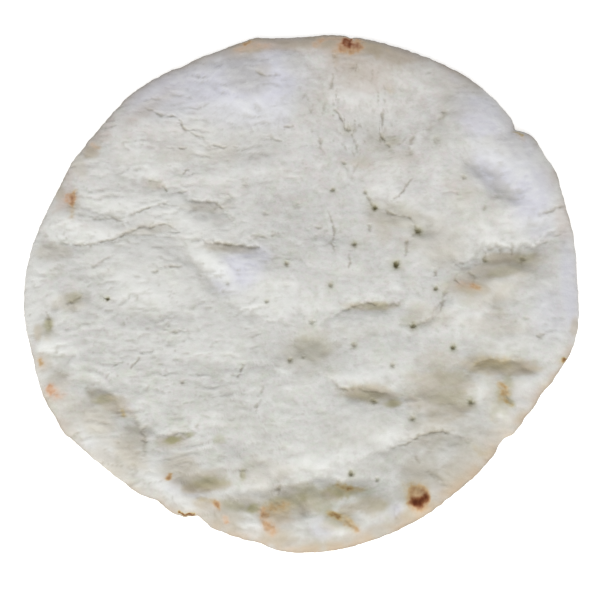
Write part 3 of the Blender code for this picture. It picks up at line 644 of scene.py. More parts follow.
def plan_of_top():
    """The top in plan, flat: even rings, which crowd together over the rounded shoulder."""
    points = [np.zeros((1, 2))]
    for k in range(1, flat_rings + 1):
        share = k / flat_rings
        count = RING_GROWTH * k
        points.append(ring_points(count, lambda theta: share * (outline_radius(theta) - EDGE_ROUND)))
    for k in range(1, SHOULDER_RINGS + 1):
        inset = EDGE_ROUND * (1.0 - math.sin(RIGHT_ANGLE * k / SHOULDER_RINGS))
        count = RING_GROWTH * (flat_rings + k)
        points.append(ring_points(count, lambda theta: outline_radius(theta) - inset))
    rings = []
    total = 1
    for ring in points[1:]:
        rings.append(list(range(total, total + len(ring))))
        total += len(ring)
    faces = [(0, corner, rings[0][(k + 1) % len(rings[0])]) for k, corner in enumerate(rings[0])]
    for inner, outer in zip(rings, rings[1:]):
        fill_between(faces, inner, outer)
    plan = np.concatenate(points)
    mesh = bpy.data.meshes.new("plan_of_top")
    mesh.from_pydata(np.column_stack([plan, np.zeros(len(plan))]).tolist(), [], faces)
    return mesh


def split_finer(bm, hole_reach, with_lines):
    """Halves every edge that lies near a hole and, with lines, near a crease or a toasted mark."""
    edges = [e for e in bm.edges if len(e.link_faces) == 2]
    middle = np.array([(e.verts[0].co + e.verts[1].co)[:2] for e in edges]) / 2
    lines = [(line, CREASE_REACH) for line, _, _ in CREASES]
    for line, half_width, browning, _ in TOASTED:
        if browning > SHARP_BROWNING:
            lines.append((line, half_width + TOAST_REACH))
    near = np.zeros(len(edges), dtype=bool)
    if with_lines:
        for line, reach in lines:
            near |= follow_line(middle[:, 0], middle[:, 1], line)[0] < reach
    for hole_x, hole_y, _, _ in HOLES:
        near |= np.hypot(middle[:, 0] - hole_x, middle[:, 1] - hole_y) < hole_reach
    chosen = [e for e, keep in zip(edges, near) if keep]
    bmesh.ops.subdivide_edges(bm, edges=chosen, cuts=1, use_grid_fill=True)
    bmesh.ops.triangulate(bm, faces=[f for f in bm.faces if len(f.verts) > 3])


bm = bmesh.new()
bm.from_mesh(plan_of_top())
split_finer(bm, HOLE_REACH, True)
split_finer(bm, INNER_HOLE_REACH, False)

# The top's points rise to the dough's form. Below the widest line the side tucks in to the table.
plan = np.array([v.co[:2] for v in bm.verts])
x = plan[:, 0]
y = plan[:, 1]
inset = np.clip(inset_from_edge(x, y), 0.0, None)
shoulder = np.sqrt(1.0 - np.clip(1.0 - inset / EDGE_ROUND, 0.0, 1.0) ** 2)
height = EQUATOR_HEIGHT + (top_height(x, y) - EQUATOR_HEIGHT) * shoulder
for vert, z in zip(bm.verts, height):
    vert.co.z = z

bm.verts.ensure_lookup_table()
border = [v for v in bm.verts if v.is_boundary]
border.sort(key=lambda v: math.atan2(v.co.y, v.co.x) % (2 * math.pi))
above = border
for k in range(1, SIDE_RINGS + 1):
    turn = RIGHT_ANGLE * k / SIDE_RINGS
    tuck = UNDERCUT * (1.0 - math.cos(turn))
    drop = EQUATOR_HEIGHT * (1.0 - math.sin(turn))
    below = []
    for vert in border:
        reach = math.hypot(vert.co.x, vert.co.y)
        shrink = (reach - tuck) / reach
        below.append(bm.verts.new((vert.co.x * shrink, vert.co.y * shrink, drop)))
    for j in range(len(border)):
        following = (j + 1) % len(border)
        bm.faces.new((above[j], below[j], below[following]))
        bm.faces.new((above[j], below[following], above[following]))
    above = below

# The underside is flat, in rings that run in from the side's last ring to its middle point.
made = list(above)
outer = list(range(len(made)))
under_rings = round(MEAN_RADIUS / UNDERSIDE_STEP)
under_faces = []
for k in range(under_rings - 1, 0, -1):
    share = k / under_rings
    flat = ring_points(RING_GROWTH * k, lambda theta: share * (outline_radius(theta) - UNDERCUT))
    inner = list(range(len(made), len(made) + len(flat)))
    made += [bm.verts.new((px, py, 0.0)) for px, py in flat]
    fill_between(under_faces, inner, outer)
    outer = inner
made.append(bm.verts.new((0.0, 0.0, 0.0)))
for k in range(len(outer)):
    under_faces.append((len(made) - 1, outer[k], outer[(k + 1) % len(outer)]))
for a, b, c in under_faces:
    bm.faces.new((made[a], made[b], made[c]))
bmesh.ops.recalc_face_normals(bm, faces=bm.faces)

crust_mesh = bpy.data.meshes.new("baked_crust")
bm.to_mesh(crust_mesh)
bm.free()
crust_mesh.shade_smooth()


def read_points(mesh):
    """The mesh's points, one row for each."""
    flat = np.empty(3 * len(mesh.vertices))
    mesh.vertices.foreach_get("co", flat)
    return flat.reshape(-1, 3)


def read_normals(mesh):
    """The mesh's normals, one row for each point."""
    flat = np.empty(3 * len(mesh.vertices), dtype=np.float32)
    mesh.vertex_normals.foreach_get("vector", flat)
    return flat.reshape(-1, 3).astype(float)


def average_over_neighbours(mesh, values, rounds):
    """Each point's value, blended with its neighbours' again and again."""
    ends = np.empty(2 * len(mesh.edges), dtype=np.int64)
    mesh.edges.foreach_get("vertices", ends)
    first = ends[0::2]
    second = ends[1::2]
    links = np.bincount(ends, minlength=len(values))
    for _ in range(rounds):
        total = np.bincount(first, weights=values[second], minlength=len(values))
        total += np.bincount(second, weights=values[first], minlength=len(values))
        values = 0.5 * values + 0.5 * total / links
    return values


# The fine relief stands on the form, along its own normals. Across the left half the skin has dried
# into flaps that overlap like shingles: each climbs slowly towards the back, then drops over a short
# step that faces the back. Wrinkles, pits and cracks run from side to side, and upright at the back,
# with lumps and a grain over everything. The outline is a little ragged.
FLAP_SPACING = 8.0
FLAP_HEIGHT = 1.0
FLAP_LEAST = 0.2  # how much of that is left at the far right
FLAP_TILT = 0.12  # how far the flaps' edges climb towards the right
FLAP_STEP = 0.14  # the share of each flap's width over which it drops
FLAP_MIDDLE = -0.36  # levels the flaps about the form
SMALL_FLAP_SPACING = 0.45 * FLAP_SPACING
SMALL_FLAP_HEIGHT = 0.4
SMALL_FLAP_LEAST = 0.15
SMALL_FLAP_STEP = 2.0 * FLAP_STEP
SMALL_FLAP_BEND = 0.6
MEANDER = 14.0  # how far the flaps' edges stray from straight
MEANDER_FINE = 6.0
LEFT_LIMIT = -15.0  # the flaps fade out about this line, from the left to the right
LEFT_BLEND = 16.0
UPRIGHT_MIDDLE = (30.0, 88.0)  # of the part where the relief runs upright
UPRIGHT_REACH = (34.0, 42.0)
UPRIGHT_GAIN = 1.3  # wrinkles and pits are this much stronger there
CRACK_DEPTH = 0.4
CRACK_WIDTH = 0.05  # in the units of the roughness whose zero lines the cracks follow
FLAT_CRACK_SHARE = 0.7
CRACK_FADE = 90.0  # flat cracks grow faint over this length, towards the back
WRINKLE_HEIGHT = 0.1
WRINKLE_BEND = 0.3
PIT_DEPTH = 0.45
PIT_LEVEL = 0.26  # the roughness has to pass this before a pit begins
PIT_MOST = 0.5
LUMP_HEIGHT = 0.15
GRAIN_HEIGHT = 0.06
STEEP_GAIN = 1.5  # the relief stays whole until a normal leans more than this allows
STEEP_LEAST = 0.25
RAGGED_EDGE = 0.45
RAGGED_MIDDLE = 0.25  # the ragged edge lies inside the outline more than outside it
RAGGED_REACH = 3.0
NICK_REACH = 6.0
ON_TABLE = 0.05  # points lower than this lie flat on the table
LEAST_HEIGHT = 0.3  # no relief goes lower than this
# The patterns of roughness: the sizes of the lumps along X and Y, the octaves and the layer.
MEANDER_LUMPS = (42.0, 30.0, 1, 3.0)
MEANDER_FINE_LUMPS = (13.0, 8.0, 3, 5.0)
FLAP_PLACES = (16.0, 7.0, 2, 9.0)
SMALL_FLAP_PLACES = (9.0, 3.6, 2, 13.0)
FLAT_CRACKS = (20.0, 6.0, 2, 37.0)
FLAT_CRACK_PLACES = (11.0, 6.0, 2, 39.0)
UPRIGHT_CRACKS = (6.0, 24.0, 2, 33.0)
UPRIGHT_CRACK_PLACES = (7.0, 9.0, 2, 35.0)
FLAT_WRINKLES = (11.0, 4.0, 3, 7.5)
UPRIGHT_WRINKLES = (4.0, 11.0, 3, 17.5)
FLAT_PITS = (5.4, 1.8, 2, 21.0)
UPRIGHT_PITS = (1.8, 5.4, 2, 29.0)
PIT_PLACES = (18.0, 14.0, 1, 23.0)
LUMPS = (7.0, 6.0, 3, 31.0)
GRAIN = (1.9, 1.7, 2, 43.0)
EDGE_LUMPS = (4.0, 4.0, 3, 47.0)
# How the flaps, the cracks and the pits vary from place to place: the middle share and its swing, then
# its least and its most where they aren't 0 and 1.
FLAP_SPREAD = (0.1, 2.4)
SMALL_FLAP_SPREAD = (0.0, 2.4)
FLAT_CRACK_SPREAD = (0.0, 3.0)
FLAT_CRACK_FADING = (1.2, -1.0, 0.3)
UPRIGHT_CRACK_SPREAD = (0.3, 3.0)
PIT_SPREAD = (0.6, 2.0, 0.1, 1.2)
# Where the outline dips in or bulges out: the heading and half its width in degrees, and how far.
NICKS = [
    (84, 42, -0.9), (112, 14, -0.4), (168, 20, -0.8), (153, 5, -0.5), (47, 8, -0.6), (29, 4, -1.1),
    (36.2, 0.8, -1.2), (33.6, 1.4, 0.5), (38.8, 1.4, 0.8), (96.5, 2, -0.5), (104, 1.5, -0.5),
    (112, 1, 0.4), (118, 1.2, -0.8), (145, 2, 0.6), (243.4, 1.6, -1.1), (245.2, 0.7, -0.6),
    (246.8, 1.0, -1.0), (250.2, 1.4, 0.5), (256, 1.2, -1.0), (260, 1.4, 0.5), (264, 1.6, -0.8),
    (286, 6, -0.7), (292, 1.4, -0.5), (317, 2, 0.8), (331, 2, 0.7), (337, 1.6, 0.6), (5.5, 2.5, 0.5),
    (214, 1.6, 0.6), (210, 1.6, -0.7), (18, 4, -0.5), (24.4, 2.0, 0.7), (27.8, 1.4, -0.5),
    (253.6, 1.4, -0.6), (323.4, 1.0, 0.5), (321.4, 0.8, -0.5), (84.5, 2.4, 0.5), (78.9, 0.7, -1.2),
    (99, 6, 0.4), (327.4, 1.6, -0.7), (267, 2, -0.6), (10, 1.4, 0.6),
]

points = read_points(crust_mesh)
normals = read_normals(crust_mesh)
x = points[:, 0]
y = points[:, 1]
z = points[:, 2]
heading = np.arctan2(y, x)
edge_inset = np.clip(inset_from_edge(x, y), 0.0, None)


def flaps(x, y, bend, spacing, step):
    """Overlapping flaps: each climbs slowly towards the back, then drops over a short step."""
    phase = np.mod((y + bend - FLAP_TILT * x) / spacing, 1.0)
    return FLAP_MIDDLE - np.exp((phase - 1.0) / step) + phase


def uneven(roughness, middle, swing, least=0.0, most=1.0):
    """A share that varies with the roughness about its middle, kept between its least and its most."""
    return np.clip(middle + swing * roughness, least, most)


def at_least(least, share):
    """A share from 0 to 1, drawn up so that it runs from its least to 1."""
    return least + (1.0 - least) * share


def crests(roughness):
    """Wrinkles with sharp crests, along the zero lines of the roughness."""
    return 1.0 - 2.0 * np.abs(roughness)


left_share = 1.0 / (1.0 + np.exp((x - LEFT_LIMIT) / LEFT_BLEND))
meander = MEANDER * rough(x, y, *MEANDER_LUMPS) + MEANDER_FINE * rough(x, y, *MEANDER_FINE_LUMPS)
flap_share = uneven(rough(x, y, *FLAP_PLACES), *FLAP_SPREAD) * at_least(FLAP_LEAST, left_share)
fine = FLAP_HEIGHT * flap_share * flaps(x, y, meander, FLAP_SPACING, FLAP_STEP)
small_flaps = flaps(x, y, SMALL_FLAP_BEND * meander, SMALL_FLAP_SPACING, SMALL_FLAP_STEP)
small_flap_share = uneven(rough(x, y, *SMALL_FLAP_PLACES), *SMALL_FLAP_SPREAD)
small_flaps *= small_flap_share * at_least(SMALL_FLAP_LEAST, left_share)
fine += SMALL_FLAP_HEIGHT * small_flaps

upright_share = bell(x - UPRIGHT_MIDDLE[0], UPRIGHT_REACH[0])
upright_share *= bell(y - UPRIGHT_MIDDLE[1], UPRIGHT_REACH[1])
flat_crack = bell(rough(x, y, *FLAT_CRACKS), CRACK_WIDTH) * FLAT_CRACK_SHARE * left_share
flat_crack_share = uneven(rough(x, y, *FLAT_CRACK_PLACES), *FLAT_CRACK_SPREAD)
flat_crack *= flat_crack_share * uneven(y / CRACK_FADE, *FLAT_CRACK_FADING)
upright_crack = bell(rough(x, y, *UPRIGHT_CRACKS), CRACK_WIDTH) * upright_share
upright_crack *= uneven(rough(x, y, *UPRIGHT_CRACK_PLACES), *UPRIGHT_CRACK_SPREAD)
cracks = np.maximum(upright_crack, flat_crack)
fine -= CRACK_DEPTH * cracks

flat_share = 1.0 - upright_share
upright_gain = UPRIGHT_GAIN * upright_share
flat_wrinkles = crests(rough(x, y + WRINKLE_BEND * meander, *FLAT_WRINKLES))
upright_wrinkles = crests(rough(x + WRINKLE_BEND * meander, y, *UPRIGHT_WRINKLES))
flat_pits = uneven(rough(x, y, *FLAT_PITS), -PIT_LEVEL, 1.0, 0.0, PIT_MOST)
upright_pits = uneven(rough(x, y, *UPRIGHT_PITS), -PIT_LEVEL, 1.0, 0.0, PIT_MOST)
pit_share = uneven(rough(x, y, *PIT_PLACES), *PIT_SPREAD)
fine += WRINKLE_HEIGHT * (flat_wrinkles * flat_share + upright_wrinkles * upright_gain)
fine -= PIT_DEPTH * pit_share * (flat_pits * flat_share + upright_pits * upright_gain)
fine += LUMP_HEIGHT * rough(x, y, *LUMPS)
fine += GRAIN_HEIGHT * rough(x, y, *GRAIN)
upward = np.clip(normals[:, 2] * STEEP_GAIN, STEEP_LEAST, 1.0)
points = points + normals * (fine * upward)[:, None]

outward = RAGGED_EDGE * bell(edge_inset, RAGGED_REACH) * (rough(x, y, *EDGE_LUMPS) - RAGGED_MIDDLE)
for nick_heading, half_angle, nick_outward in NICKS:
    off = (np.degrees(heading) - nick_heading + 180.0) % 360.0 - 180.0
    outward += nick_outward * bell(edge_inset, NICK_REACH) * bell(off, half_angle)
points[:, :2] *= (1.0 + (z > ON_TABLE) * outward / np.clip(np.hypot(x, y), 1.0, None))[:, None]

# Creases and docking holes cut into that skin. The creases' lines wander and break off, and the
# holes' mouths are a little frayed.
CREASE_WANDER = 1.6
CREASE_WANDER_LUMPS = (8.0, 8.0, 1)
CREASE_WANDER_FINE = 0.7
CREASE_WANDER_FINE_LUMPS = (2.6, 2.6, 2)
CREASE_BREAKS = (5.0, 5.0, 2, 69.0)
CREASE_SPREAD = (0.62, 1.5)  # the middle share of a crease's depth, and how much it varies
CREASE_MASK_WIDTH = 1.5  # the dark of a crease is this many times as wide as its cut
CRACK_MASK_SHARE = 0.55
HOLE_SQUASH = 0.92  # below 1, so that a mouth is a little longer from front to back
HOLE_FRAYING = 0.4
HOLE_FRAYS = (1.8, 1.8, 2, 73.0)
HOLE_FALL = 1.1  # how fast a hole's depth, its dark and its green halo end around its middle
HOLE_DARK_FALL = 0.9
HOLE_HALO_FALL = 0.22
TOP_RISE = 0.02  # the top is where the normals rise by more than this


def wander(x, y, layer, fine_layer):
    """How far a crease's line strays from its own place."""
    coarse = CREASE_WANDER * rough(x, y, *CREASE_WANDER_LUMPS, layer)
    return coarse + CREASE_WANDER_FINE * rough(x, y, *CREASE_WANDER_FINE_LUMPS, fine_layer)


wander_x = x + wander(x, y, 51.0, 55.0)
wander_y = y + wander(x, y, 63.0, 67.0)
broken = uneven(rough(x, y, *CREASE_BREAKS), *CREASE_SPREAD)
# The crease mask is painted shade: it darkens the creases and the cracks.
crease_mask = CRACK_MASK_SHARE * cracks
crease_drop = np.zeros(len(x))
for line, depth, half_width in CREASES:
    nearest, _, along = follow_line(wander_x, wander_y, line)
    strength = broken * fade_at_ends(along)
    crease_drop = np.maximum(crease_drop, depth * strength * bell(nearest, half_width))
    crease_mask = np.maximum(crease_mask, strength * bell(nearest, CREASE_MASK_WIDTH * half_width))
# The hole mask is painted shade, dark in the docking holes.
hole_mask = np.zeros(len(x))
hole_halo = np.zeros(len(x))
hole_drop = np.zeros(len(x))
frayed = HOLE_FRAYING * rough(x, y, *HOLE_FRAYS)
for hole_x, hole_y, mouth, darkness in HOLES:
    reach = np.clip(np.hypot(x - hole_x, (y - hole_y) * HOLE_SQUASH) / mouth + frayed, 0.0, None)
    hole_drop = np.maximum(hole_drop, HOLE_DEPTH * darkness * np.exp(-HOLE_FALL * reach**2))
    hole_mask = np.maximum(hole_mask, darkness * np.exp(-HOLE_DARK_FALL * reach**2))
    hole_halo = np.maximum(hole_halo, darkness * np.exp(-HOLE_HALO_FALL * reach**2))
is_top = normals[:, 2] > TOP_RISE
points[:, 2] -= np.where(is_top, crease_drop + hole_drop, 0.0)
points[:, 2] = np.where(z > ON_TABLE, np.maximum(points[:, 2], LEAST_HEIGHT), points[:, 2])
crust_mesh.vertices.foreach_set("co", (points * MM).ravel())
crust_mesh.update()

crust = bpy.data.objects.new("baked_crust", crust_mesh)
bpy.context.scene.collection.objects.link(crust)

# The finish: barely baked dough is a dull greenish white where it is bare and chalk white where flour
# lies on it. It is toasted on the rim's blisters and along the edge, and olive in the deep folds. Painted
# shade darkens its hollows, folds, creases, docking holes and edge, and painted highlight lightens
# some patches.
#
# Oval patches of each tint, from the back to the front: the middle's x and y, half the length, half
# the width, the turn in degrees, and the strength. First, a warm tan in the folds and hollows,
# partly painted shade.
TAN = [
    (16, 138, 12, 2.4, 0, 0.9), (-29, 136, 6, 2.6, 8, 1.2), (-28, 136, 12, 2.4, 8, 0.7),
    (38, 135, 10, 2.4, -18, 0.7), (5, 134, 20, 4, 0, 0.6), (20, 134, 22, 5, 0, 0.5),
    (17, 133, 9, 4, 0, 0.9), (-26, 131.5, 7, 3, 10, 0.7), (-28, 131, 10, 5, 15, 0.3),
    (-27, 131, 9, 3.4, 0, 1.1), (36, 131, 12, 6, -15, 1.0), (20, 129, 5, 2.4, 0, 0.6),
    (28, 128, 14, 9, 0, 0.25), (45, 128, 18, 5, -15, 0.6), (-20, 118, 4, 4, 0, 0.2),
    (40, 118, 18, 13, 0, 0.25), (-80, 98, 16, 4, 38, 0.2), (25, 83, 4, 4, 0, 0.2),
    (43, 77, 9, 7, 0, 0.25), (-112, 71, 4, 5, -40, 0.7), (-42, 70, 10, 6, 0, 0.2),
    (-66, 69, 10, 5, 0, 0.2), (55, 68, 6, 4, 0, 0.25), (-121, 66, 4, 12, 30, 0.4),
    (32, 65, 5, 3, 0, 0.3), (-78, 53, 6, 3, -20, 0.4), (86, 50, 9, 10, 0, 0.15),
    (-129, 49, 3, 5, 20, 0.6), (-121, 43, 4, 6, 0, 0.5), (-50, 40, 11, 3, 0, 0.3),
    (50, 34, 15, 8, -15, 0.35), (-80, 28, 14, 3, 8, 0.3), (43, 28, 5, 8, 0, 0.4),
    (61, 26, 6, 5, 0, 0.25), (60, 20, 8, 5, 0, 0.3), (74, 20, 12, 14, 0, 0.3),
    (-38, 17, 13, 3, -5, 0.5), (-130, 15, 9, 5, 0, 0.35), (106, 11.5, 12, 4.5, 10, 0.75),
    (108, 9, 24, 5, 14, 0.6), (120, 9, 4, 6, 0, 0.4), (112, 4, 9, 4, 10, 0.5),
    (105, 3.6, 13, 3.4, 14, 0.6), (88, -4, 11, 8, 0, 0.55), (90, -5, 10, 5, 0, 0.8),
    (98, -6, 14, 9, 10, 0.4), (-120, -12, 8, 5, 0, 0.45), (38, -14, 13, 2.6, 0, 0.6),
    (103, -18, 5, 5, 0, 0.35), (65, -20, 12, 6, 0, 0.3), (100, -25, 14, 5, 0, 0.3),
    (142, -25, 2.4, 5, -10, 0.6), (-131, -27, 4, 6, 0, 0.25), (-136, -28, 2.6, 5, 0, 0.7),
    (5, -38, 14, 11, 0, 0.3), (-133, -45, 4, 6, 0, 0.4), (71, -45, 12, 9, 0, 0.35),
    (99, -46, 10, 3.4, 0, 1.0), (102, -46, 19, 5, -3, 0.95), (-125, -55, 7, 7, 0, 0.4),
    (-130, -60, 5, 9, 20, 0.4), (34, -60, 14, 4.5, -5, 0.75), (72, -60, 18, 14, 0, 0.6),
    (103, -62, 12, 12, 0, 0.3), (-98, -66, 12, 5, -25, 0.7), (47, -66, 5, 3, 0, 0.6),
    (-118, -70, 12, 9, -30, 0.3), (-104, -74, 14, 8, -45, 0.4), (-122, -76, 5, 3, -50, 0.2),
    (105, -79, 10, 6, 30, 0.4), (-118, -80, 9, 5, -50, 0.35), (66, -83, 12, 7, 0, 0.3),
    (-86, -84, 8, 9, -45, 0.35), (-66, -85, 8, 4, 10, 0.6), (86, -86, 10, 6, 40, 0.25),
    (95, -88, 14, 6, 45, 0.35), (-88, -92, 10, 6, -42, 0.5), (-96, -97, 12, 5, -42, 0.35),
    (-60, -100, 9, 8, 0, 0.5), (-20, -101, 16, 7, 0, 0.3), (60, -104, 11, 12, 0, 0.2),
    (76, -104, 14, 7, 45, 0.4), (-49, -106, 13, 6, 5, 0.6), (80, -106, 12, 5, 42, 0.5),
    (-46, -108, 12, 3.4, 5, 0.9), (-56, -110, 5, 3, -10, 0.9), (-54, -110, 7, 4, 0, 0.4),
    (-52, -110, 5, 2.6, 0, 0.6), (17, -112, 9, 4, 5, 0.8), (-4, -116, 17, 8, 8, 0.6),
    (-30, -117, 12, 4, 0, 0.5), (-49, -117.5, 5, 3, -20, 0.7), (35, -118, 7, 5, 0, 0.6),
    (24, -120, 6, 3, 10, 0.7), (62, -120.5, 7, 4, 30, 1.0), (-12, -121, 8, 5, 0, 1.3),
    (60, -121, 12, 5, 25, 0.8), (-38, -124, 8, 5, -20, 0.5), (17, -124, 6, 3, -20, 0.5),
    (14, -128, 5, 3, 0, 0.5), (38, -132, 12, 3.4, 15, 0.5), (-13, -134, 9, 4, 0, 0.7),
    (14, -139, 20, 2.4, 5, 0.5),
]

# Olive green in the deepest folds, partly painted shade.
OLIVE = [
    (2, 100, 12, 10, 0, 0.14), (-72, 98, 14, 6, 20, 0.14), (49, 77, 5, 3, 0, 0.3),
    (38, 66, 12, 8, 0, 0.12), (92, 40, 14, 10, 0, 0.14), (52, 34, 12, 8, 0, 0.14),
    (117, 12, 6, 3, 15, 0.4), (107, 4.6, 12, 3, 14, 0.35), (-118, -10, 4, 3, 0, 0.4),
    (38, -14, 8, 2, 0, 0.4), (-131, -25, 2.4, 4, 0, 0.8), (5, -37, 9, 7, 0, 0.25),
    (101, -45.5, 8, 2.8, 0, 0.45), (78, -52, 9, 5, 0, 0.3), (103.6, -60, 3.6, 8, -15, 0.7),
    (34, -62, 8, 3, 0, 0.35), (77, -62, 8, 5, 0, 0.3), (75, -63, 9, 4, 0, 0.35),
    (-101, -64, 5, 2.6, 0, 0.6), (47, -66, 4, 2.4, 0, 0.7), (106, -66, 3, 2, -35, 0.8),
    (102, -68, 5, 5, 0, 0.3), (-57, -82, 3, 1.6, 0, 0.7), (-41.5, -84.5, 3, 2.4, 0, 0.4),
    (-65.2, -84.6, 4, 1.8, 10, 1.2), (-29.5, -102.5, 1.6, 3.2, 0, 0.6), (-46.5, -106.5, 9, 3, 0, 0.6),
    (21, -109.4, 6, 2, -10, 1.0), (29, -110, 4, 1.4, 0, 0.7), (21, -111, 8, 3.4, 0, 0.9),
    (5, -112, 8, 5, 0, 0.5), (30, -112, 8, 4, 0, 0.3), (1, -113, 3.4, 3, 0, 0.7),
    (-6, -116, 7, 4, 20, 0.5), (-36, -117, 5, 2, 0, 0.4), (-10, -117, 8, 4, 10, 0.9),
    (11, -118, 6, 4, 0, 0.5), (38, -118, 5, 3, 0, 0.3), (-33, -118.6, 7, 2.4, 0, 0.5),
    (-24.5, -119.5, 3.2, 2.6, 0, 1.2), (16.6, -122.8, 4.4, 1.8, -25, 1.0), (22, -125.4, 6, 2, -30, 0.6),
    (20, -127, 8, 3, -25, 0.35),
]

# Rosy skin, faintly baked, mostly at the back.
ROSY = [
    (22, 134, 26, 7, 0, 1.0), (-15, 133, 14, 6, 0, 1.0), (-28, 131, 14, 7, 10, 0.8),
    (45, 128, 20, 8, -15, 0.8), (30, 118, 16, 14, 0, 0.8), (86, 114, 10, 8, -30, 0.5),
    (-80, 98, 20, 5, 38, 0.6), (58, 96, 10, 8, 0, 0.15), (30, 92, 14, 12, 0, 0.1),
    (92, 92, 6, 8, 0, 0.4), (-106, 80, 4, 4, -40, 0.7), (-112, 73, 6, 5, 45, 0.5),
    (48, 62, 14, 12, 0, 0.1), (-125, 58, 3, 5, 20, 0.8), (130, 56, 5, 8, 20, 0.5),
    (-125, 44, 5, 7, 0, 0.8), (139, 32, 5, 12, 0, 0.7), (-122, -76, 4, 3, -50, 0.5),
    (-64, -108, 3, 3, 0, 0.6), (-52, -110, 5, 3, 0, 0.6), (18, -112, 5, 2.6, 0, 0.6),
    (70, -114, 4, 3, 40, 0.6), (-8, -126, 5, 3, 0, 0.6),
]

# Painted shade: darker patches in the shade of the front rim and beside the mounds.
PAINTED_SHADE_PATCHES = [
    (18, 138.4, 9, 2, 0, 1.0), (-24, 137, 8, 2.4, 10, 1.0), (-21, 137, 5, 2.4, 0, 0.8),
    (21, 137, 10, 3, 0, 0.8), (20, 136, 20, 4, 0, 0.6), (32, 136, 12, 3, -10, 0.9),
    (-34, 134, 5, 2, 15, 0.8), (-28, 134, 12, 3, 8, 0.6), (-32, 122, 9, 15, 0, 0.5),
    (-5, 120, 6, 8, 0, 0.4), (72, 114, 13, 6, -25, 0.4), (-30, 113, 12, 9, 0, 0.6),
    (20, 110, 12, 8, 0, 0.25), (91, 110, 9, 5, -48, 0.7), (-28, 108, 10, 6, 0, 0.5),
    (85, 102, 8, 12, 0, 0.5), (75, 80, 9, 9, 0, 0.45), (101, 76, 5, 4, -30, 0.6),
    (-111, 74, 5, 3, 45, 0.5), (112, 73, 9, 6, -30, 0.6), (-19, 71, 6, 3, 0, 0.3),
    (122, -2, 8, 6, 0, 0.4), (30, -27, 12, 4, 0, 0.35), (105, -35, 20, 6, 12, 0.45),
    (1, -54, 7, 3, 0, 0.4), (42, -54, 6, 2.6, 0, 0.6), (94, -56, 6, 4, 0, 0.3),
    (-40, -68, 16, 8, -30, 0.3), (34, -74, 12, 7, 0, 0.3), (-104, -76, 10, 5, -40, 0.5),
    (74, -76, 18, 8, 0, 0.8), (42, -77, 8, 3, 0, 0.6), (70, -79, 22, 8, 0, 0.3),
    (30, -80, 24, 9, 0, 0.35), (-18, -85, 8, 10, 0, 0.35), (62, -85, 7, 2.6, 10, 0.6),
    (52, -88, 18, 6, 10, 0.5), (-85, -90, 10, 8, -40, 0.5), (57, -95, 5, 3, 0, 0.6),
    (75, -97, 22, 14, 38, 0.75), (34, -98, 6, 3, 10, 0.5), (44, -98, 5, 3, 0, 0.5),
    (-88, -101, 18, 9, -40, 0.45), (61, -101, 9, 3.4, -20, 1.0), (64, -103, 10, 5, 10, 0.8),
    (46, -113, 10, 4, 10, 0.5), (-57, -116.4, 6, 3, -20, 1.0), (-60, -119, 14, 6, -25, 0.6),
    (-50, -119, 8, 5, -20, 0.6), (38, -119, 9, 6, 10, 0.8), (0.5, -120, 2.4, 7, 0, 1.0),
    (62, -121, 8, 4, 30, 0.5), (44, -122, 4, 3, 0, 0.5), (60, -122, 12, 5, 25, 0.5),
    (27, -125, 5, 3, -20, 0.8), (-37, -127, 12, 7, -22, 0.9), (46, -130, 22, 6, 18, 0.6),
    (-8, -134, 12, 6, 0, 0.9), (26, -135, 7, 3, 8, 0.7), (27, -136, 7, 3, 10, 0.5),
    (12, -137, 30, 3, 3, 0.5),
]

# Painted highlight: pale patches that stand in for skin catching more light.
PAINTED_HIGHLIGHT_PATCHES = [
    (104, 101, 10, 7, -45, 1.0), (-20, 92, 14, 7, 0, 0.5), (-18, 92, 6, 4, 0, 0.8),
    (110, 92, 5, 6, -30, 0.8), (35, 87, 15, 10, 0, 0.6), (-40, 80, 36, 14, 0, 0.6),
    (-121, 69, 4, 8, 30, 1.0), (-50, 68, 34, 8, 0, 0.3), (131, 68, 6, 18, -20, 1.0),
    (-126, 66, 5, 10, 30, 0.6), (-120, 66, 5, 9, 30, 0.6), (-95, 60, 20, 14, 0, 0.4),
    (95, 60, 14, 8, -20, 0.5), (98, 60, 16, 7, 0, 0.6), (-133, 48, 5, 14, 25, 0.6),
    (45, 42, 14, 8, 0, 0.4), (42, 41, 6, 2.6, -10, 1.0), (42, 41, 7, 3, 0, 0.7), (82, 41, 5, 3, 0, 0.8),
    (137, 40, 6, 14, 0, 0.7), (-134, 36, 5, 8, 0, 0.8), (68, 30, 20, 9, -30, 0.8),
    (60, 29, 5, 3, 0, 1.0), (60, 28, 8, 5, 0, 1.0), (142, 24, 3, 9, 0, 0.9), (143, 22, 3, 9, 0, 1.0),
    (-72, 18, 50, 32, -8, 0.6), (100, 14, 24, 8, 12, 0.4), (96, 13, 5, 2.6, 0, 0.9),
    (-85, 12, 40, 10, 0, 0.3), (75, 12, 15, 6, 0, 0.6), (48, 9, 6, 4, 0, 0.7), (-142, 2, 5, 40, 0, 0.9),
    (143, -8, 5, 34, 0, 0.9), (104, -11, 9, 4, 0, 0.5), (-100, -12, 26, 9, 0, 0.5),
    (143, -14, 3, 12, 0, 1.0), (-35, -20, 34, 20, 0, 0.35), (-132, -22, 7, 14, 0, 0.8),
    (-130, -24, 7, 9, 0, 0.6), (17, -33, 8, 6, 0, 0.5), (-82, -38, 14, 8, 0, 0.5),
    (0, -38, 12, 6, 0, 0.5), (2, -38, 14, 10, 0, 0.5), (-130, -47, 5, 6, 0, 0.5),
    (-134, -50, 6, 16, -20, 0.8), (-98, -66, 5, 4, 0, 0.6), (101, -80, 6, 8, 40, 0.6),
    (-98, -96, 9, 3.4, -42, 1.0), (-97, -98, 12, 5, -42, 0.8), (-56, -98, 14, 8, 0, 0.6),
    (8, -108, 14, 4, 0, 0.4), (-24, -113, 14, 5, 0, 1.0), (-19, -123, 4, 4, 0, 0.6),
]
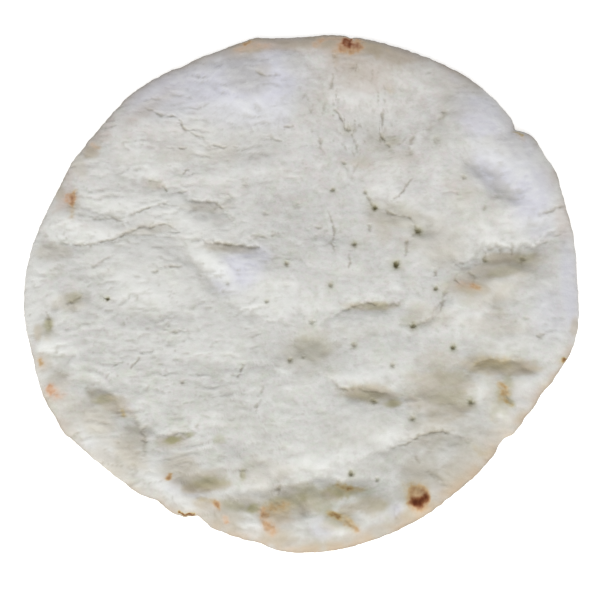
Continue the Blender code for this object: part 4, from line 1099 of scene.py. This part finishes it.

# Lilac-white patches, bluer than the bare skin.
LILAC_WHITE_PATCHES = [
    (-18, 124, 14, 6, 0, 0.8), (84, 113, 5, 3, -40, 0.4), (-30, 108, 30, 20, 0, 1.0),
    (-64, 107, 30, 15, 12, 0.85), (-13, 107, 12, 19, 0, 1.0), (97, 90, 12, 19, 25, 0.8),
    (114, 86, 4, 5, -30, 0.5), (108, 66, 15, 17, -35, 1.0), (122, 46, 11, 18, 0, 0.9),
    (125, 32, 9, 9, 0, 0.6), (-24, 12, 8, 6, 0, 0.7), (-33, 4, 14, 10, 30, 0.95),
    (140, -4, 5, 24, 0, 0.8), (130, -18, 10, 14, 0, 0.45), (120, -61, 3, 4, 0, 0.5),
    (112, -64, 6, 9, -30, 0.3), (-89, -68, 4, 3, 0, 0.5), (-100, -90, 10, 5, -40, 0.2),
    (-66, -109, 8, 3, -38, 0.4), (68, -109, 3.4, 3, 0, 0.8), (-54, -115, 11, 3.6, -12, 0.8),
    (-58, -116, 7, 3.2, -20, 0.35), (48, -121, 4, 4, 0, 0.7), (10, -130, 5, 5, 0, 0.5),
    (36, -130, 7, 3, 15, 0.4), (-25, -130.5, 4, 3, 0, 0.3),
]

# Dry white flour.
CHALKY = [
    (34, 103, 15, 7, 0, 0.35), (-30, 95, 26, 6, 3, 0.5), (104, 69, 15, 6, -35, 0.7),
    (-80, 60, 16, 4, 0, 0.3), (-30, 57, 30, 4, 0, 0.35), (45, 52, 10, 6, 0, 0.4),
    (-90, 40, 26, 4, 5, 0.45), (-62, 33, 12, 6, -35, 0.5), (59, 30, 6, 4, 0, 0.8),
    (106, 27, 26, 6, 12, 0.45), (-117, 25, 16, 3.4, -3, 0.6), (-45, 6, 16, 4.5, -42, 1.0),
    (100, -5, 12, 6, 20, 0.4), (-84, -6, 20, 7, -8, 0.5), (-15, -11, 24, 7, -8, 0.5),
    (88, -24, 10, 6, 0, 0.5), (112, -34, 12, 4, 15, 0.5), (-55, -36, 24, 6, 0, 0.25),
    (-128, -37, 8, 3.6, 0, 0.8), (36, -50, 16, 5, 8, 0.5), (94, -60, 6, 6, 0, 0.5),
    (112, -62, 5, 9, -30, 0.5), (120, -62, 4, 12, -35, 0.4), (-103, -83, 15, 5, -38, 0.7),
    (42, -86, 20, 4, 17, 0.6), (5, -98, 22, 6, 0, 0.6), (-74, -102, 10, 4, -50, 0.7),
    (-41, -113, 9, 2.2, 0, 0.5), (-58, -117.5, 6, 2.6, -35, 0.6), (8, -126, 5, 3, 0, 0.5),
    (30, -127, 10, 4, 10, 0.3), (-25, -130.5, 5, 3.4, 0, 0.7),
]

TOAST_WIDTH = 1.1  # a toasted mark fades out over this many times its half-width
TOAST_RAGGED = 0.2
TOAST_JITTER = 0.8  # how far its outline is shaken out of place
TOAST_JITTER_LUMPS = (2.6, 2.6, 2)
TOAST_MOTTLE = 0.45
TOAST_MOTTLE_LOSS = 0.6  # the brownest marks are this much less mottled
TOAST_MOTTLES = (2.0, 2.0, 2, 87.0)
FIRST_WEIGHT = 1e-6  # keeps points beyond every mark from dividing by nothing
PATCH_EDGE = 1.5  # a patch has faded out at this many times its half-length and half-width
PATCH_RAGGED = 0.32  # how far that edge is broken up, in the same measure
PATCH_RAGS = (5.0, 5.0, 3, 71.0)
PATCH_RAGGED_FINE = 0.15
PATCH_FINE_RAGS = (1.6, 1.6, 2, 77.0)
PATCH_STREAKY = 0.35  # and how far it is drawn out into streaks from side to side
PATCH_STREAKS = (14.0, 6.0, 3, 83.0)
# The tints, their patches, and how ragged and how streaky the edges of those are.
TINT_PATCHES = [
    ("tan", TAN, 0.5, 1.0), ("olive", OLIVE, 1.0, 0.0), ("rosy", ROSY, 0.5, 1.0),
    ("painted_shade", PAINTED_SHADE_PATCHES, 0.0, 1.0), ("painted_highlight", PAINTED_HIGHLIGHT_PATCHES, 0.0, 1.0), ("lilac_white", LILAC_WHITE_PATCHES, 0.2, 0.0),
    ("chalky", CHALKY, 0.12, 1.0),
]
HALO_SHARE = 0.8  # of the olive shade, around a docking hole
NARROW_ROUNDS = 5  # rounds of blending, to tell small hollows and crests
NARROW_SHARE = 4.0
WIDE_ROUNDS = 40  # and to tell wide ones
WIDE_SHARE = 0.7
FRONTNESS_SPAN = 200.0  # frontness falls from 1 at the front to 0 at the back over this length
UNDER_BLEND = 1.8  # the underside's shade fades out over this height
UNDER_LUMPS = (5.0, 5.0, 3, 90.0)


def strokes(x, y, places, ragged):
    """How strongly a point is toasted by the listed strokes, which fade out, and how red it is."""
    bare = np.ones(len(x))
    weight = np.full(len(x), FIRST_WEIGHT)
    weighted_red = np.zeros(len(x))
    for line, half_width, full, red in places:
        nearest = follow_line(x, y, line)[0]
        mark = full * bell(nearest * (1.0 + ragged), TOAST_WIDTH * half_width)
        bare *= 1.0 - mark
        weight += mark
        weighted_red += red * mark
    return 1.0 - bare, weighted_red / weight


def patches(x, y, places, ragged):
    """How strongly a point lies in any of the listed oval patches, whose edges are ragged."""
    strength = np.zeros(len(x))
    for centre_x, centre_y, half_length, half_width, turn, full in places:
        along, over = across_oval(x, y, centre_x, centre_y, half_length, half_width, turn)
        blend = np.clip(PATCH_EDGE - np.hypot(along, over) - ragged, 0.0, 1.0)
        strength = np.maximum(strength, full * blend * blend * (3 - 2 * blend))
    return strength


def keep_mask(name, values):
    """Stores a mask from 0 to 1 on the crust's points, for the material to read."""
    attribute = crust_mesh.attributes.new(name, "FLOAT", "POINT")
    attribute.data.foreach_set("value", np.clip(values, 0.0, 1.0).astype(np.float32))


def facing(heading, towards, power):
    """How much a side of the crust faces the given direction in degrees: 1 at most, 0 from behind."""
    return np.clip(np.cos(heading - math.radians(towards)), 0.0, 1.0) ** power


ragged = PATCH_RAGGED * rough(x, y, *PATCH_RAGS) + PATCH_RAGGED_FINE * rough(x, y, *PATCH_FINE_RAGS)
streaky = PATCH_STREAKY * rough(x, y, *PATCH_STREAKS)
for tint, places, raggedness, streakiness in TINT_PATCHES:
    strength = patches(x, y, places, raggedness * ragged + streakiness * streaky)
    if tint == "olive":
        strength = np.maximum(strength, HALO_SHARE * hole_halo)
    keep_mask(tint, strength * is_top)
# The crease and hole masks carry painted shade.
keep_mask("crease", crease_mask * is_top)
keep_mask("hole", hole_mask * is_top)

jitter_x = x + TOAST_JITTER * rough(x, y, *TOAST_JITTER_LUMPS, 85.0)
jitter_y = y + TOAST_JITTER * rough(x, y, *TOAST_JITTER_LUMPS, 86.0)
toasted, toast_red = strokes(jitter_x, jitter_y, TOASTED, TOAST_RAGGED * ragged)
toasted *= 1.0 + TOAST_MOTTLE * (1.0 - TOAST_MOTTLE_LOSS * toasted) * rough(x, y, *TOAST_MOTTLES)
keep_mask("toasted", toasted * (z > 0.5 * EQUATOR_HEIGHT))
keep_mask("toast_red", toast_red)

# What lies lower than its surroundings gets a painted shade, and what stands higher is lightened towards
# chalk white.
heights = points[:, 2]
hollow = NARROW_SHARE * (average_over_neighbours(crust_mesh, heights, NARROW_ROUNDS) - heights)
hollow += WIDE_SHARE * (average_over_neighbours(crust_mesh, heights, WIDE_ROUNDS) - heights)
keep_mask("hollow", hollow * is_top)
keep_mask("crest", -hollow * is_top)
keep_mask("frontness", 0.5 - y / FRONTNESS_SPAN)
keep_mask("underside", (0.5 * EQUATOR_HEIGHT - z) / UNDER_BLEND + 0.5 * rough(x, y, *UNDER_LUMPS))

# The outer edge is browned most at the front right. Painted shade darkens it all round and most at the
# back, and a thin dark line of painted shade runs around its widest part. All three are weaker under
# the painted highlight.
BROWNED_HEADING = -62.0  # in degrees, anticlockwise from +X
BROWNED_FALL = 1.4  # how fast it ends on both sides of that heading
BROWNED_REACH = 1.8
BROWNED_REACH_FRONT = 2.8  # so much farther where it is browned most
BROWNED_INWARD_FALL = 1.5
BROWNED_LEAST = 0.25
BROWNED_PLACES = (9.0, 9.0, 2, 88.0)
BROWNED_SPREAD = (0.75, 1.2)
# The painted shade along the outer edge, darkest at the back.
EDGE_SHADE_HEADING = 92.0
EDGE_SHADE_FALL = 1.5
EDGE_SHADE_REACH = 3.5
EDGE_SHADE_REACH_BACK = 3.0
EDGE_SHADE_LEAST = 0.35
# The thin dark line of painted shade around the widest part.
LINE_REACH = 1.4
LINE_PLACES = (9.0, 9.0, 3, 89.0)
LINE_SPREAD = (0.85, 0.4, 0.3)
PALE_LOSS = 0.85
SIDE_PLACES = (11.0, 11.0, 3, 92.0)
SIDE_BROWNING = 0.45  # how brown the side is below the top
SIDE_SWING = 0.9  # and how much that varies

bare_edge = 1.0 - PALE_LOSS * np.clip(patches(x, y, PAINTED_HIGHLIGHT_PATCHES, 0.0), 0.0, 1.0)
front_share = facing(heading, BROWNED_HEADING, BROWNED_FALL)
back_share = facing(heading, EDGE_SHADE_HEADING, EDGE_SHADE_FALL)
browned_reach = BROWNED_REACH + BROWNED_REACH_FRONT * front_share
baked_edge = bell(edge_inset, browned_reach, BROWNED_INWARD_FALL)
baked_edge *= bare_edge * at_least(BROWNED_LEAST, front_share)
baked_edge *= uneven(rough(x, y, *BROWNED_PLACES), *BROWNED_SPREAD)
side_browning = SIDE_BROWNING + SIDE_SWING * rough(x, y, *SIDE_PLACES)
painted_edge_shade = bell(edge_inset, EDGE_SHADE_REACH + EDGE_SHADE_REACH_BACK * back_share) * at_least(EDGE_SHADE_LEAST, back_share)
outer_shade_line = bell(np.hypot(edge_inset * is_top, z - EQUATOR_HEIGHT), LINE_REACH)
outer_shade_line *= uneven(rough(x, y, *LINE_PLACES), *LINE_SPREAD)
keep_mask("baked_edge", np.where(is_top, baked_edge, side_browning))
keep_mask("painted_edge_shade", painted_edge_shade * bare_edge)
keep_mask("outer_shade_line", outer_shade_line * bare_edge)
keep_mask("backness", back_share)


def add_node(tree, kind, **settings):
    """A new node with the given settings."""
    node = tree.nodes.new(kind)
    for name, value in settings.items():
        setattr(node, name, value)
    return node


def mask_socket(tree, name):
    """The socket that gives one of the masks kept on the crust's points."""
    return add_node(tree, "ShaderNodeAttribute", attribute_name=name).outputs["Fac"]


def mix_colour(tree, share, below, above):
    """A mix of two colours, each a socket or a fixed colour."""
    node = add_node(tree, "ShaderNodeMix", data_type="RGBA")
    sockets = (node.inputs["Factor"], node.inputs[6], node.inputs[7])  # 6 and 7 are the two colours
    for socket, value in zip(sockets, (share, below, above)):
        if isinstance(value, (tuple, float)):
            socket.default_value = value
        else:
            tree.links.new(value, socket)
    return node.outputs[2]


def scaled(tree, value, factor, add=0.0):
    """A value times a factor, with something added, kept between 0 and 1."""
    node = add_node(tree, "ShaderNodeMath", operation="MULTIPLY_ADD", use_clamp=True)
    tree.links.new(value, node.inputs[0])
    node.inputs[1].default_value = factor
    node.inputs[2].default_value = add
    return node.outputs[0]


def combined(tree, operation, first, second):
    """The sum or the difference of two values, kept between 0 and 1."""
    node = add_node(tree, "ShaderNodeMath", operation=operation, use_clamp=True)
    tree.links.new(first, node.inputs[0])
    tree.links.new(second, node.inputs[1])
    return node.outputs[0]


def texture_noise(tree, where, size, detail):
    """Noise with lumps of the given size in millimetres."""
    node = add_node(tree, "ShaderNodeTexNoise")
    tree.links.new(where, node.inputs["Vector"])
    node.inputs["Scale"].default_value = 1.0 / (size * MM)
    node.inputs["Detail"].default_value = detail
    return node.outputs["Fac"]


def mottle(tree, where, size, detail, contrast, lift):
    """A mottled mask: contrast makes the noise's lumps starker, and lift shows more of them."""
    return scaled(tree, texture_noise(tree, where, size, detail), contrast, lift)


def shades_of(tree, value, steps):
    """A colour for each value of a mask, running evenly through the listed shades."""
    ramp = add_node(tree, "ShaderNodeValToRGB")
    elements = ramp.color_ramp.elements
    while len(elements) < len(steps):
        elements.new(0.5)
    for k, shade in enumerate(steps):
        elements[k].position = k / (len(steps) - 1)
        elements[k].color = shade
    tree.links.new(value, ramp.inputs["Fac"])
    return ramp.outputs["Color"]


def grain(tree, where, size, detail, strength, height, below=None):
    """The normal of a skin with bumps of the given size and height, over coarser bumps."""
    bump = add_node(tree, "ShaderNodeBump")
    bump.inputs["Strength"].default_value = strength
    bump.inputs["Distance"].default_value = height * MM
    tree.links.new(texture_noise(tree, where, size, detail), bump.inputs["Height"])
    if below is not None:
        tree.links.new(below, bump.inputs["Normal"])
    return bump.outputs["Normal"]


BARE = tone(202, 201, 199)
BARE_OLIVE = tone(198, 201, 187)
BARE_PINK = tone(203, 195, 191)
FINE_OLIVE = tone(198, 204, 196)
FINE_PINK = tone(208, 199, 202)
FINE_TINT_SHARE = 0.35
CHALK = tone(220, 221, 218)
SPECKLE = tone(186, 184, 176)
# The mottles: the size of their lumps in millimetres, the noise's detail, and their contrast and lift.
OLIVE_MOTTLE = (9.0, 5.0, 3.6, -1.7)
PINK_MOTTLE = (7.0, 5.0, 3.6, -1.4)
FINE_MOTTLE = (2.0, 4.0, 6.0, -2.5)
CHALK_MOTTLE = (6.0, 3.0, 2.0, -0.9)
SPECKLE_MOTTLE = (2.2, 4.0, 2.4, -1.25)
UNDER_MOTTLE = (12.0, 4.0, 6.0, -3.3)
DRY_MOTTLE = (5.0, 4.0, 0.3, 0.68)
OLIVE_IN_FRONT = (0.35, -0.05)  # more olive shows towards the front: its gain and its lift
# The tints over the bare skin, in the order in which they are laid: the mask, how much of the shade
# it takes at most, and the shade.
TINTS = [
    # painted highlight, lighter where the light falls brighter
    ("painted_highlight", 0.8, tone(214, 214, 210)),
    ("rosy", 0.75, tone(190, 177, 170)),
    ("lilac_white", 0.9, tone(201, 201, 212)),
    # painted shade, darker where shade falls
    ("painted_shade", 0.8, tone(176, 173, 164)),
    ("chalky", 0.7, CHALK),
    ("crest", 0.4, CHALK),
    # painted shade in the hollows
    ("hollow", 0.45, tone(172, 169, 160)),
    # partly painted shade, darker in the folds and hollows
    ("tan", 0.75, tone(176, 161, 133)),
    # partly painted shade in the deepest folds
    ("olive", 0.72, tone(156, 152, 104)),
    ("baked_edge", 0.85, tone(192, 168, 138)),
    # painted shade along the edge
    ("painted_edge_shade", 0.55, tone(158, 149, 139)),
    # painted shade in the creases and cracks
    ("crease", 0.42, tone(140, 132, 110)),
]
# Toast from hardly browned to burnt, where it is red brown and where it is olive brown.
RED_TOAST = [
    tone(204, 194, 186), tone(206, 182, 164), tone(198, 160, 130),
    tone(168, 120, 94), tone(138, 82, 50), tone(104, 44, 14),
]
OLIVE_TOAST = [
    tone(196, 192, 176), tone(190, 178, 148), tone(178, 158, 116),
    tone(150, 118, 76), tone(116, 76, 40), tone(84, 40, 12),
]
TOAST_COVER = 3.0  # even a faint mark covers the tints below it
# Painted shade in the docking holes.
HOLE_SHADE = tone(96, 88, 48)
HOLE_COVER = 0.9
UNDER_SHADE = tone(208, 194, 168)
UNDER_BROWN = tone(180, 140, 98)
# The edge's thin dark line is painted shade, darker at the back, which faces away from the lamp.
OUTER_SHADE_LINE = tone(124, 114, 102)
OUTER_SHADE_LINE_BACK = tone(100, 84, 66)
OUTER_SHADE_LINE_COVER = 0.7
TOAST_SMOOTHNESS = 0.3  # how much less rough the toasted skin is
SHINE = 0.25
# The grain: the size of its lumps, the noise's detail, the strength and the height.
COARSE_GRAIN = (3.2, 5.0, 0.5, 0.4)
FINE_GRAIN = (1.1, 3.0, 0.4, 0.2)

dough = bpy.data.materials.new("baked_dough")
dough.use_nodes = True
tree = dough.node_tree
shader = tree.nodes["Principled BSDF"]
where = add_node(tree, "ShaderNodeTexCoord").outputs["Object"]
frontness = mask_socket(tree, "frontness")
frontness_share = scaled(tree, frontness, *OLIVE_IN_FRONT)
olive_mottle = combined(tree, "ADD", mottle(tree, where, *OLIVE_MOTTLE), frontness_share)
pink_mottle = combined(tree, "SUBTRACT", mottle(tree, where, *PINK_MOTTLE), frontness)
colour = mix_colour(tree, olive_mottle, BARE, BARE_OLIVE)
colour = mix_colour(tree, pink_mottle, colour, BARE_PINK)
fine_tint = mix_colour(tree, mottle(tree, where, *FINE_MOTTLE), FINE_PINK, FINE_OLIVE)
colour = mix_colour(tree, FINE_TINT_SHARE, colour, fine_tint)
colour = mix_colour(tree, mottle(tree, where, *CHALK_MOTTLE), colour, CHALK)
colour = mix_colour(tree, mottle(tree, where, *SPECKLE_MOTTLE), colour, SPECKLE)
for mask, most, shade in TINTS:
    colour = mix_colour(tree, scaled(tree, mask_socket(tree, mask), most), colour, shade)
browned = mask_socket(tree, "toasted")
red_toast = shades_of(tree, browned, RED_TOAST)
toast = mix_colour(tree, mask_socket(tree, "toast_red"), shades_of(tree, browned, OLIVE_TOAST), red_toast)
colour = mix_colour(tree, scaled(tree, browned, TOAST_COVER), colour, toast)
colour = mix_colour(tree, scaled(tree, mask_socket(tree, "hole"), HOLE_COVER), colour, HOLE_SHADE)
under_colour = mix_colour(tree, mottle(tree, where, *UNDER_MOTTLE), UNDER_SHADE, UNDER_BROWN)
colour = mix_colour(tree, mask_socket(tree, "underside"), colour, under_colour)
line_shade = mix_colour(tree, mask_socket(tree, "backness"), OUTER_SHADE_LINE, OUTER_SHADE_LINE_BACK)
line_share = scaled(tree, mask_socket(tree, "outer_shade_line"), OUTER_SHADE_LINE_COVER)
tree.links.new(mix_colour(tree, line_share, colour, line_shade), shader.inputs["Base Color"])
dryness = mottle(tree, where, *DRY_MOTTLE)
roughness = combined(tree, "SUBTRACT", dryness, scaled(tree, browned, TOAST_SMOOTHNESS))
tree.links.new(roughness, shader.inputs["Roughness"])
shader.inputs["Specular IOR Level"].default_value = SHINE
coarse_grain = grain(tree, where, *COARSE_GRAIN)
tree.links.new(grain(tree, where, *FINE_GRAIN, coarse_grain), shader.inputs["Normal"])
crust_mesh.materials.append(dough)

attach(crust, "root")
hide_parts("crust")
